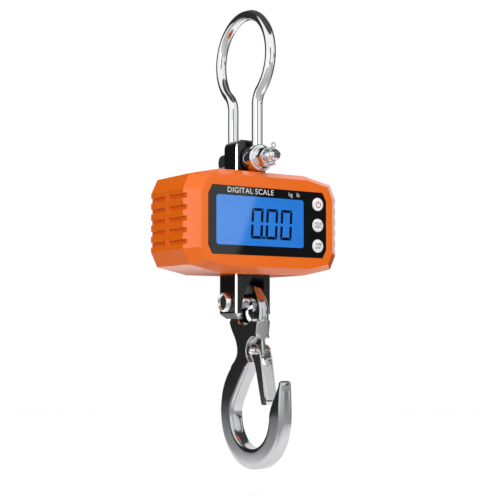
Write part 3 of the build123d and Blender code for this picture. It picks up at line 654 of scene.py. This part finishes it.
# ---- shackle ----
def shackle_bow():
    """Round bar bent to a bow and waist, with turned eyes at the ends of its legs."""
    centre_z = -(BOW_R - ROD_R)
    waist_y = LEG_Y + WAIST_R
    waist_z = centre_z - sqrt((BOW_R + WAIST_R) ** 2 - waist_y ** 2)
    lean = degrees(atan2(waist_z - centre_z, waist_y))
    right = arc((0.0, centre_z), BOW_R, 90.0, lean, 64)
    right += arc((waist_y, waist_z), WAIST_R, 180.0 + lean, 180.0, 20)[1:]
    right.append((LEG_Y, PIN_Z + EYE_R / 2))
    path = [(0.0, y, z) for y, z in [(-y, z) for y, z in reversed(right)] + right[1:]]
    bow = tube(path, ROD_R, sides=56)
    for side in (-1, 1):
        low, high = sorted(side * y for y in EYE_Y)
        bore = PIN_R + 0.05
        profile = soften([(bore, low, 0.3), (EYE_R, low, 1.3), (EYE_R, high, 1.3), (bore, high, 0.3)])
        bow = combined(bow, lathe(profile, "Y", (0.0, PIN_Z), steps=96))
    piece("shackle_forging", bow, "chrome", "shackle", ["shackle_bow"], crease=40.0)


def shackle_pin():
    """Domed socket head at the back, plain shank and a rolled thread at the front."""
    head_low = EYE_Y[1] + 0.1
    back = span("shackle_pin")[1].y
    root = PIN_R - THREAD_DEPTH
    profile = [(0.0, PIN_END_Y), (root - 0.7, PIN_END_Y), (root, PIN_END_Y + 0.7), (root, NUT_Y[1] + 0.5),
               (PIN_R, NUT_Y[1] + 1.3), (PIN_R, head_low), (6.6, head_low), (7.0, head_low + 0.4),
               (7.0, back - 2.6), (6.6, back - 1.3), (5.6, back - 0.4), (4.4, back), (3.4, back)]
    pin = lathe(profile + [(3.4, back - 3.2), (0.0, back - 3.2)], "Y", (0.0, PIN_Z), steps=96)
    turns = int((NUT_Y[1] - PIN_END_Y - 1.0) / THREAD_PITCH)
    ridge = coil(turns, THREAD_PITCH, root, root, THREAD_DEPTH, "chrome", sides=4, steps=72)
    pin = merged(pin, ridge, Matrix.Translation((0.0, PIN_END_Y + 1.0, PIN_Z)) @ ALONG_Y)
    piece("shackle_bolt", pin, "chrome", "shackle", ["shackle_pin"])


def shackle_washer():
    low, high = span("shackle_washer")
    profile = soften([(4.1, low.y, 0.2), (8.2, low.y, 0.5), (8.2, high.y, 0.5), (4.1, high.y, 0.2)])
    washer = lathe(profile, "Y", (0.0, PIN_Z))
    piece("plain_washer", washer, "chrome", "shackle", ["shackle_washer"])


def shackle_nut():
    """Hexagon nut whose corners are turned off at both faces."""
    low, high = NUT_Y
    across = NUT_FLATS / sqrt(3.0)
    hexagon = [(across * cos(radians(60 * k)), PIN_Z + across * sin(radians(60 * k))) for k in range(6)]
    barrel = [(4.05, low + 0.5), (4.6, low), (6.1, low), (7.2, low + 0.75), (7.2, high - 0.75),
              (6.1, high), (4.6, high), (4.05, high - 0.5)]
    blank = plate(hexagon, low - 1, high + 1, "Y")
    nut = combined(lathe(barrel, "Y", (0.0, PIN_Z), steps=120), blank, "INTERSECT")
    nut = round_edges(nut, 0.12, 2, sharper=20.0)
    piece("hex_nut", nut, "chrome", "shackle", ["shackle_nut"], even=True)


def split_pin():
    """Half-round wire doubled back on itself, its ring on top and its ends spread."""
    shape = bmesh.new()
    top = PIN_Z + 7.2
    for side in (-1, 1):
        loop = [(side * 0.48, SPLIT_Y, PIN_Z - 5.2), (side * 0.48, SPLIT_Y, PIN_Z + 4.4)]
        loop += [(side * u, SPLIT_Y, v) for u, v in arc((0.0, top), 1.5, -60.0, 90.0, 14)]
        ends = [(side * 1.4, SPLIT_Y - 0.3, PIN_Z - 7.0), (side * 0.7, SPLIT_Y, PIN_Z - 6.0)]
        tube(ends + loop, 0.45, sides=14, shape=shape)
    piece("cotter", shape, "zinc_steel", "shackle", ["split_pin"], crease=60.0)


# ---- load cell ----
def load_cell():
    """The bar with bevels along its front and back outlines, bright with a painted highlight."""
    high = span("load_cell")[1]
    bar = cad_copy("load_cell")

    def at_side(value, *halves):
        return any(abs(abs(value) - half) < 0.1 for half in halves)

    def outline(at, edge):
        wide = at_side(at.x, high.x, BAR_HALF) or at.z > high.z - BAR_CORNER_R - 0.2
        level = abs(edge.verts[0].co.y - edge.verts[1].co.y) < 0.01
        return wide and level and at_side(at.y, BAR_DEPTH, high.y)

    bar = round_edges(bar, BAR_BEVEL, 1, wanted=outline, clamp=False)
    piece("measuring_bar", bar, "black_coated_steel", "meter", ["load_cell"], even=True)


# ---- housing ----
def outer_planes():
    """The planes of the housing's outside, from the hull of both covers."""
    hull = from_mesh(NODES["front_cover"].data)
    rear = from_mesh(NODES["rear_cover"].data)
    hull = merged(hull, rear)
    bmesh.ops.convex_hull(hull, input=hull.verts)
    hull.normal_update()
    planes = [(f.normal.copy(), f.verts[0].co.copy()) for f in hull.faces if f.calc_area() > 1.0]
    hull.free()
    return [(n if n.dot(p - Vector((0, 0, MID_Z))) > 0 else -n, p) for n, p in planes]


def covers():
    """Both halves of the housing, their outer edges and finger grooves rounded, but not the rear rim."""
    planes = outer_planes()
    back = max(p.y for n, p in planes)

    def outside(at, edge):
        if min(v.co.y for v in edge.verts) > back - REAR_FACE:
            return False
        return min(n.dot(p - at) for n, p in planes) < SIDE_GROOVE

    for node, name in (("front_cover", "front_shell"), ("rear_cover", "rear_shell")):
        shell = round_edges(cad_copy(node), SHELL_ROUND, 2, sharper=12.0, wanted=outside, clamp=False)
        piece(name, shell, "orange_shell", "meter", [node], even=True)


def edged(node, name, finish, body, width):
    """A CAD node whose edges are rounded."""
    shape = round_edges(cad_copy(node), width)
    piece(name, shape, finish, body, [node], even=True)


# ---- display and keys ----
def lettering(name, text, size, x, z, y, finish, body, weight=0.0, spacing=1.0):
    """Flat raised print, centred on a place on the front."""
    curve = bpy.data.curves.new(name, "FONT")
    curve.body, curve.size = text, size * MM
    curve.align_x, curve.align_y = "CENTER", "CENTER"
    curve.extrude, curve.offset = 0.012 * MM, weight * MM
    curve.space_character = spacing
    curve.resolution_u = 6
    mesh = evaluated(loose(curve, name))
    mesh.transform(Matrix.Translation(Vector((x, y, z)) * MM) @ Matrix.Rotation(radians(90), 4, "X"))
    shape = from_mesh(mesh)
    bmesh.ops.remove_doubles(shape, verts=shape.verts, dist=0.0004)
    piece(name, shape, finish, body)


def digit(shape, x, z, width, height, bar, lean, y):
    """A zero of six slanted segments whose ends are mitred."""
    gap = bar * 0.16
    half_w, half_h = width / 2, height / 2

    def slanted(points):
        return [(x + u + lean * v, z + v) for u, v in points]

    def segment(points):
        plate(slanted(points), y - 0.05, y, "Y", shape)

    edge, core = half_w - gap, half_w - bar - gap
    for side in (-1, 1):
        top, inner = side * half_h, side * (half_h - bar)
        segment([(-edge, top), (edge, top), (core, inner), (-core, inner)])
        outside, inside = side * half_w, side * (half_w - bar)
        for end in (-1, 1):
            near = end * gap + end * bar * 0.35
            far, shoulder = end * (half_h - gap), end * (half_h - bar - gap)
            segment([(outside, far), (outside, near), (inside, near), (inside, shoulder)])


def readout():
    """The display's 0.00 in seven-segment digits."""
    shape = bmesh.new()
    front = span("lcd_glass")[0].y - 0.01
    bar, width, height, lean = 2.0, 9.9, 21.4, 0.05
    pitch, right, z = 12.4, 14.9, MID_Z - 1.3
    for i in range(3):
        digit(shape, right - i * pitch, z, width, height, bar, lean, front)
    dot_x, foot = right - 1.5 * pitch - lean * height / 2, z - height / 2
    dot = [(dot_x - 0.9, foot), (dot_x + 0.9, foot), (dot_x + 0.9, foot + 1.8), (dot_x - 0.9, foot + 1.8)]
    plate(dot, front - 0.05, front, "Y", shape)
    piece("readout_digits", shape, "segment_blue", "meter")


def key_caps():
    """White caps with a soft rim, and the print on each."""
    marks = {"hold": ("HOLD", "ZERO"), "units": ("TARE", "UNIT")}
    for name, z in KEY_Z.items():
        body = name + "_key"
        low, high = span("key_" + name)
        profile = [(0.0, low.y), (3.4, low.y), (4.1, low.y + 0.06), (4.5, low.y + 0.2), (4.7, low.y + 0.5),
                   (4.7, low.y + 3.2), (5.8, low.y + 3.2), (5.8, low.y + 4.2), (1.6, low.y + 4.2),
                   (1.6, high.y), (0.0, high.y)]
        cap = lathe(profile, "Y", (KEY_X, z), steps=64)
        piece(name + "_cap", cap, "white_key", body, ["key_" + name], crease=50.0)
        print_y = KEY_FRONT - 0.012
        for k, word in enumerate(marks.get(name, ())):
            lettering(f"{name}_mark_{k + 1}", word, 2.5, KEY_X, z + 1.25 - 2.5 * k, print_y,
                      "grey_print", body, weight=0.07)
    sign = power_sign(KEY_X, KEY_Z["power"])
    piece("power_mark", sign, "red_print", "power_key")


def power_sign(x, z):
    """Power sign: an open ring and a short bar."""
    shape = bmesh.new()
    outer, inner = 2.4, 1.7
    ring = arc((x, z - 0.2), outer, 125.0, 415.0, 40) + arc((x, z - 0.2), inner, 415.0, 125.0, 40)
    plate(ring, KEY_FRONT - 0.024, KEY_FRONT, "Y", shape)
    bar = [(x - 0.35, z + 0.1), (x + 0.35, z + 0.1), (x + 0.35, z + 2.6), (x - 0.35, z + 2.6)]
    return plate(bar, KEY_FRONT - 0.024, KEY_FRONT, "Y", shape)


# ---- hook and latch ----
def forged(node, voxel, rounds):
    """A CAD node's mesh as an even net of small faces whose edges are worn round."""
    obj = loose(tidy_mesh(cad_copy(node), "blank"))
    step = obj.modifiers.new("net", "REMESH")
    step.mode, step.voxel_size = "VOXEL", voxel * MM
    step = obj.modifiers.new("wear", "SMOOTH")
    step.factor, step.iterations = 0.5, rounds
    mesh = evaluated(obj)
    mesh.shade_smooth()
    return mesh


def hook():
    """The forging: worn round except at the latch's lug, its neck's front crowned, its tip drawn in."""
    shape = from_mesh(forged("hook", 0.5, 8))
    py, pz = LATCH_PIN
    worn = [v for v in shape.verts if hypot(v.co.y - py, v.co.z - pz) > LUG_ROOM]
    bowl = [v for v in worn if v.co.z < BOWL_TOP]
    for verts, rounds in ((worn, NECK_ROUNDS), (bowl, BOWL_ROUNDS)):
        for _ in range(rounds):
            bmesh.ops.smooth_vert(shape, verts=verts, factor=0.5, use_axis_x=True, use_axis_y=True,
                                  use_axis_z=True)
    for vert in shape.verts:
        y, z = vert.co.y, vert.co.z
        reach = hypot(y, z - HOOK_PIN_Z)
        if y < NECK_FRONT and z > NECK_LOW:
            crown = min(1.0, (NECK_FRONT - y) / 5.0) * min(1.0, (z - NECK_LOW) / 4.0)
            half = EYE_HALF if z > EYE_LOW else NECK_HALF
            vert.co.y += NECK_CROWN * crown * ((vert.co.x - HOOK_X) / half) ** 2
        if reach < HOOK_BORE:
            vert.co.y *= HOOK_BORE / reach
            vert.co.z = HOOK_PIN_Z + (z - HOOK_PIN_Z) * HOOK_BORE / reach
        if y < TIP_FROM[0] and z > TIP_FROM[1]:
            narrower = 1.0 - TIP_DRAW * ((z - TIP_FROM[1]) / TIP_LENGTH) ** 2
            vert.co.x = HOOK_X + (vert.co.x - HOOK_X) * narrower
    piece("forged_hook", shape, "polished_steel", "hook", ["hook"], crease=70.0)


def bush():
    """Chamfered bush left of the hook's eye and a thin washer right of it."""
    left, right = span("hook_spacers")
    end = HOOK_X - 4.3
    profile = [(5.1, left.x), (6.2, left.x), (6.6, left.x + 0.4), (6.6, end - 0.4), (6.2, end), (5.1, end)]
    shape = lathe(profile, "X", (0.0, HOOK_PIN_Z), steps=96)
    washer = [(5.1, right.x - 0.5), (6.6, right.x - 0.5), (6.6, right.x), (5.1, right.x)]
    lathe(washer, "X", (0.0, HOOK_PIN_Z), steps=64, shape=shape)
    piece("hook_bush", shape, "chrome", "meter", ["hook_spacers"])


def hook_pin():
    """Collared head with a recessed end on the left, ring groove and chamfer on the right."""
    left, right = span("hook_pin")
    head_from = -15.1
    profile = [(0.0, left.x + 1.0), (5.1, left.x + 1.0), (5.3, left.x + 0.2), (5.6, left.x),
               (6.0, left.x + 0.1), (6.6, left.x + 0.7), (6.8, left.x + 1.2), (6.8, head_from - 2.0),
               (6.2, head_from - 1.8), (6.2, head_from - 1.4), (6.8, head_from - 1.2),
               (6.8, head_from - 0.2), (6.6, head_from), (5.0, head_from), (5.0, 15.8), (4.4, 15.8),
               (4.4, 17.0), (5.0, 17.0), (5.0, right.x - 0.7), (4.3, right.x), (0.0, right.x)]
    pin = lathe(profile, "X", (0.0, HOOK_PIN_Z), steps=96)
    piece("clevis_pin", pin, "chrome", "meter", ["hook_pin"])


def latch():
    """Stamped channel: rounded cheeks on the pin, at their back a web with an arched top, a bent tongue."""
    py, pz = LATCH_PIN
    ty, tz = LATCH_TIP
    brow, foot = (py - 7.4, pz - 3.0), (ty - 0.6, tz)
    heel, toe = (py - 1.0, pz - 9.2), (ty + 4.2, tz)
    cheek = soften([(py + 4.6, pz + 2.2, 2.4), (py + 4.3, pz - 1.4, 2.6), (*heel, 5.0),
                    (toe[0], toe[1] + 0.2, 0.8), (foot[0], foot[1], 0.5), (brow[0], brow[1], 3.4),
                    (py - 4.8, pz + 2.6, 2.4), (py - 1.4, pz + 4.8, 2.6), (py + 3.0, pz + 4.6, 2.8)])
    hole = [(py + 1.56 * cos(2 * pi * k / 24), pz + 1.56 * sin(2 * pi * k / 24)) for k in range(24)]
    inner, outer = LATCH_IN, LATCH_IN + LATCH_SHEET
    shape = bmesh.new()
    for side in (-1, 1):
        low, high = sorted(HOOK_X + side * v for v in (inner, outer))
        sheet = round_edges(plate(cheek, low, high), 0.28, 3, sharper=60.0)
        sheet = combined(sheet, plate(hole, low - 1, high + 1), "DIFFERENCE")
        shape = merged(shape, sheet)
    slope = (toe[0] - heel[0]) / (toe[1] - heel[1])
    half = outer - 0.3
    rise = [radians(a) for a in range(0, 181, 12)]
    arch = [(HOOK_X - half * cos(a), heel[1] - 4.6 + 4.2 * sin(a)) for a in rise]
    foot_line = [(HOOK_X + half, toe[1] + 0.6), (HOOK_X - half, toe[1] + 0.6)]
    web = plate(foot_line + arch, -LATCH_SHEET, 0.0, "Y")
    for vert in web.verts:
        vert.co.y += toe[0] + (vert.co.z - toe[1]) * slope - 0.15
    shape = merged(shape, round_edges(web, 0.2, 2, sharper=60.0))
    ey, ez = TONGUE_END
    bent = [(toe[0] - 0.1, toe[1] + 1.1), (ty + 0.6, tz + 3.5), (ey + 0.4, ez + 1.1), (ey, ez + 0.5),
            (ey + 0.3, ez + 0.1), (ty + 0.6, tz + 2.4), (toe[0] - 0.8, toe[1] + 0.1),
            (toe[0] - 0.1, toe[1] + 0.1)]
    tongue = plate(bent, HOOK_X - inner + 0.1, HOOK_X + inner - 0.1)
    shape = merged(shape, round_edges(tongue, 0.25, 2, sharper=60.0))
    piece("safety_latch", shape, "latch_steel", "latch", ["latch"], even=True)


def latch_pin():
    """Ball-headed rivet through the cheeks, spread at its far end."""
    left, right = span("latch_pin")
    outer = HOOK_X - LATCH_IN - LATCH_SHEET - 0.3
    ball = 2.7
    centre = left.x + 2.3
    dome = [(ball * sin(radians(a)), centre - 2.3 * cos(radians(a))) for a in range(0, 130, 10)]
    far = right.x - 2.0
    profile = dome + [(1.8, outer), (1.5, outer), (1.5, far), (2.6, far), (2.6, far + 0.6), (2.2, far + 1.2),
                      (1.4, right.x), (0.0, right.x)]
    pin = lathe(profile, "X", LATCH_PIN, steps=48)
    piece("latch_rivet", pin, "chrome", "hook", ["latch_pin"], crease=50.0)


def latch_spring():
    """Two coils on the latch's pin, beside the hook's lug."""
    shape = bmesh.new()
    room = LATCH_IN - 0.2 - LUG_HALF - SPRING_GAP
    wire = 0.36
    turns = 2.5
    for side in (-1, 1):
        turned = coil(turns, (room - 2 * wire) / turns, 2.6, 2.6, wire, "nickel", sides=12, steps=32)
        start = HOOK_X + side * (LUG_HALF + SPRING_GAP + wire)
        flip = ALONG_X if side > 0 else AGAINST_X
        shape = merged(shape, turned, Matrix.Translation((start, *LATCH_PIN)) @ flip)
    piece("spring_coils", shape, "nickel", "latch", ["latch_spring"], crease=60.0)


# ---- fasteners and battery contacts ----
def screw_blank(head_r, head_t, shank_r, length, pitch):
    """Pan-head screw: head's underside at the origin, head towards +Y, with a cross recess and a thread."""
    core = shank_r * 0.8
    profile = [(0.0, head_t), (head_r * 0.55, head_t - 0.02), (head_r * 0.85, head_t * 0.82),
               (head_r, head_t * 0.45), (head_r, 0.1), (head_r - 0.1, 0.0), (core, 0.0),
               (core, -length + shank_r), (0.0, -length)]
    blank = lathe(profile, "Y", steps=36)
    for wide, tall in ((head_r * 0.42, head_r * 0.11), (head_r * 0.11, head_r * 0.42)):
        outline = [(-wide, -tall), (wide, -tall), (wide, tall), (-wide, tall)]
        blank = combined(blank, plate(outline, head_t * 0.45, head_t + 1, "Y"), "DIFFERENCE")
    turns = int((length - shank_r - 0.6) / pitch)
    ridge = coil(turns, pitch, core, core, shank_r * 0.2, "zinc_steel", sides=4, steps=24)
    return merged(blank, ridge, Matrix.Translation((0, -length + shank_r + 0.2, 0)) @ ALONG_Y)


def screws():
    """The three groups of screws: head and shank sizes, length, pitch, then half the spread in X and Z."""
    groups = {
        "housing_screws": (2.8, 2.2, 1.25, 41.5, 0.9, (-46.0, 46.0), 25.8),
        "cell_screws": (3.5, 2.8, 1.65, 23.5, 0.8, (0.0,), 23.6),
        "board_screws": (2.0, 1.4, 0.95, 8.1, 0.6, (-50.0, 50.0), 19.2),
    }
    for node, (head_r, head_t, shank_r, length, pitch, columns, half) in groups.items():
        under_head = span(node)[1].y - head_t
        blank = screw_blank(head_r, head_t, shank_r, length, pitch)
        places = [(x, under_head, MID_Z + z) for x in columns for z in (-half, half)]
        shape = scattered(blank, places, "zinc_steel")
        piece(node.replace("screws", "fasteners"), shape, "zinc_steel", "meter", [node])


def dry_cells():
    """Crimped cans with a stepped cap at the plus end."""
    for i in range(3):
        node = f"battery_cell_{i + 1}"
        low, high = span(node)
        centre = ((low.y + high.y) / 2, (low.z + high.z) / 2)
        radius = (high.z - low.z) / 2
        sign = 1 if i % 2 == 0 else -1
        flat, tip = (low.x, high.x) if sign > 0 else (high.x, low.x)

        def at(distance):
            return flat + sign * distance

        body = abs(tip - flat) - 0.8
        profile = [(0.0, at(0.0)), (radius - 1.1, at(0.0)), (radius - 0.3, at(0.25)), (radius, at(0.8)),
                   (radius, at(body - 1.9)), (radius - 0.25, at(body - 1.6)), (radius, at(body - 1.2)),
                   (radius - 0.2, at(body - 0.2)), (radius - 0.8, at(body)), (2.3, at(body - 0.1)),
                   (1.9, at(body + 0.1)), (1.9, at(body + 0.6)), (1.6, tip), (0.0, tip)]
        cell = lathe(profile, "X", centre, steps=48)
        piece(f"dry_cell_{i + 1}", cell, "cell_jacket", "meter", [node])


def contact_springs():
    """Conical coils on sheet-metal tabs, one at each cell's minus end."""
    shape = bmesh.new()
    low, high = span("contact_springs")
    for i in range(3):
        cell_low, cell_high = span(f"battery_cell_{i + 1}")
        y, z = (cell_low.y + cell_high.y) / 2, (cell_low.z + cell_high.z) / 2
        side = -1 if i % 2 == 0 else 1
        wall = high.x if side > 0 else low.x
        tab = soften([(y - 4, z - 4, 0.8), (y + 4, z - 4, 0.8), (y + 4, z + 4, 0.8), (y - 4, z + 4, 0.8)])
        plate(tab, *sorted((wall, wall - side * 0.35)), shape=shape)
        wire = 0.26
        cone = coil(2.5, 0.36, 3.4, 2.0, wire, "nickel", sides=10, steps=32)
        turn = ALONG_X if side < 0 else AGAINST_X
        shape = merged(shape, cone, Matrix.Translation((wall - side * (0.35 + wire), y, z)) @ turn)
    piece("cell_springs", shape, "nickel", "meter", ["contact_springs"])


# ---- stage ----
YAW = radians(34.0)
TOWARDS = Vector((sin(YAW), cos(YAW), 0.0))
SIDEWAYS = Vector((cos(YAW), -sin(YAW), 0.0))
CAMERA_DISTANCE, CAMERA_OFFSET, CAMERA_Z, CAMERA_TILT = 840.0, 3.2, -224.0, 2.715
FLOOR_Z, FLOOR_R, FLOOR_T = -345.0, 1500.0, 4.0

# Where the mirrored surroundings change, each as the two ends of a soft step.
SIDE_DARK, BACK_LIGHT, HORIZON = (-0.14, -0.04), (-0.84, -0.78), (-0.01, 0.02)
GAP_EDGE, GAP_TOP = (0.976, 0.986), (0.28, 0.34)
WEDGE_FROM, WEDGE_TO, WEDGE_FRONT = (0.625, 0.633), (0.80, 0.83), (0.05, 0.1)
WIDE_FROM, WIDE_TO, CEILING = (0.0, 0.03), (0.135, 0.15), (0.70, 0.75)


def camera():
    data = bpy.data.cameras.new("camera")
    data.lens, data.sensor_width = 84.3, 36.0
    data.shift_y = 0.05
    obj = bpy.data.objects.new("camera", data)
    place = TOWARDS * -CAMERA_DISTANCE + SIDEWAYS * CAMERA_OFFSET + Vector((0, 0, CAMERA_Z))
    obj.location = place * MM
    obj.rotation_euler = (radians(90.0 + CAMERA_TILT), 0.0, -YAW)
    bpy.context.scene.collection.objects.link(obj)
    bpy.context.scene.camera = obj


def area_light(name, place, target, width, height, power):
    data = bpy.data.lights.new(name, "AREA")
    data.shape, data.size, data.size_y = "RECTANGLE", width * MM, height * MM
    data.energy = power
    obj = bpy.data.objects.new(name, data)
    obj.location = Vector(place) * MM
    obj.rotation_euler = (Vector(target) - Vector(place)).to_track_quat("-Z", "Y").to_euler()
    bpy.context.scene.collection.objects.link(obj)
    return obj


def studio():
    """White surroundings with dark gaps for the plated parts to mirror, and a plain white backdrop."""
    world = bpy.data.worlds.new("studio")
    world.use_nodes = True
    bpy.context.scene.world = world
    g = Graph(world.node_tree)
    g.tree.nodes.clear()
    way = g.add("ShaderNodeTexCoord", output=0)

    def part(direction):
        return g.add("ShaderNodeVectorMath", {"operation": "DOT_PRODUCT"}, {0: way, 1: direction}, output=1)

    back, side, up = part(-TOWARDS), part(SIDEWAYS), part((0, 0, 1))
    facing = back / (back * back + side * side + 0.0001).root()    # 1 behind the camera, -1 behind the object
    level = g.band(up, *HORIZON)
    behind = (1.0 - g.band(facing, *SIDE_DARK)) * (1.0 - level + level * g.band(facing, *BACK_LIGHT))
    gap = g.band(facing, *GAP_EDGE) * (1.0 - g.band(up, *GAP_TOP))
    x, front = part((1, 0, 0)), part((0, -1, 0))
    lean = (x - 0.383 * up) / (abs(front) + 0.001)
    wide = g.band(up, *WIDE_FROM) * (1.0 - g.band(up, *WIDE_TO))
    wedge = g.band(lean, *WEDGE_FROM) * (1.0 - g.band(lean - 0.6 * wide, *WEDGE_TO))
    wedge = wedge * g.band(front, *WEDGE_FRONT)
    ceiling = g.band(up, *CEILING)
    walls = (1.0 - 0.97 * behind) * (1.0 - 0.8 * gap) * (1.0 - 0.97 * wedge)
    glow = walls * (1.0 - ceiling) + 0.07 * ceiling
    lamp = g.add("ShaderNodeBackground", None, {"Color": glow, "Strength": 1.0})
    backdrop = g.add("ShaderNodeBackground", None, {"Color": (1.0, 1.0, 1.0, 1.0), "Strength": 1.0})
    seen = g.add("ShaderNodeLightPath")
    g.add("ShaderNodeOutputWorld", None,
          {0: g.add("ShaderNodeMixShader", None, {0: seen, 1: lamp, 2: backdrop})})


def floor():
    """Round pale floor under the hook, greyer in front and at the sides, that fades out at its rim."""
    under = FLOOR_Z - FLOOR_T
    section = [(0.0, FLOOR_Z), (60.0, FLOOR_Z), (FLOOR_R, FLOOR_Z), (FLOOR_R, under), (0.0, under)]
    mesh = tidy_mesh(lathe(section, "Z", steps=96), "floor")
    f = Finish("pale_floor")
    x, y, _ = f.axes()
    distance = (x * x + y * y).root()
    ahead = x * TOWARDS.x + y * TOWARDS.y
    aside = abs(x * SIDEWAYS.x + y * SIDEWAYS.y) - 0.215 * ahead
    near = f.band(ahead, -40.0, -130.0)
    grey = near.above(f.band(aside, 185.0, 300.0))
    mottle = f.noise(90.0)
    shade = f.mix(grey, f.mix(mottle, (0.84, 0.84, 0.84), (0.88, 0.88, 0.88)), (0.46, 0.46, 0.47))
    lift = f.mix(0.5 - 0.4 * grey, (0.0, 0.0, 0.0), shade)
    solid = f.add("ShaderNodeBsdfPrincipled", None,
                  {"Base Color": shade, "Roughness": 0.7, "Emission Color": lift, "Emission Strength": 1.0})
    clear = f.add("ShaderNodeBsdfTransparent")
    rim = f.band(distance, 500.0, 1100.0) * (1.0 - near) + f.band(distance, 1100.0, 1490.0) * near
    f.output(f.add("ShaderNodeMixShader", None, {0: rim, 1: solid, 2: clear}))
    mesh.materials.append(f.material)
    obj = loose(mesh, "floor")


def stage():
    camera()
    studio()
    floor()
    overhead = area_light("overhead", (-200, -300, 1500), (0, 0, -200), 1400, 1400, 14.0)
    right = area_light("right_soft", (150, -1200, 450), (0, 0, -150), 700, 700, 1.5)
    left = area_light("left_soft", (-700, -900, 250), (0, 0, -150), 700, 700, 4.0)
    for lamp in (overhead, right, left):
        lamp.visible_glossy = False
        lamp.visible_transmission = False
    area_light("edge_strip", (-663, -447, -83), (0, 0, -83), 90, 330, 0.2)
    bpy.context.scene.view_settings.view_transform = "Standard"


# ---- the whole ----
for node in NODES.values():
    name = node.material_slots[0].material.name
    node.material_slots[0].material = FINISH[name.split(".")[0]]

for build in (shackle_bow, shackle_pin, shackle_washer, shackle_nut, split_pin, load_cell, covers):
    build()
edged("battery_cover", "battery_door_cover", "orange_shell", "battery_door", 0.25)
edged("battery_tray", "cell_tray", "black_plastic", "meter", 0.25)
edged("pin_circlip", "snap_ring", "zinc_steel", "meter", 0.15)
edged("gasket_top", "upper_seal", "seal_rubber", "meter", 0.3)
edged("gasket_bottom", "lower_seal", "seal_rubber", "meter", 0.3)
readout()
lettering("title_print", "DIGITAL SCALE", 5.3, -15.6, -127.9, FACE_Y - 0.012, "white_print", "meter",
          weight=0.03, spacing=1.08)
lettering("units_print", "kg   lb", 4.0, 21.5, -128.0, FACE_Y - 0.012, "white_print", "meter")
for build in (key_caps, hook, bush, hook_pin, latch, latch_pin, latch_spring, screws, dry_cells,
              contact_springs, stage):
    build()
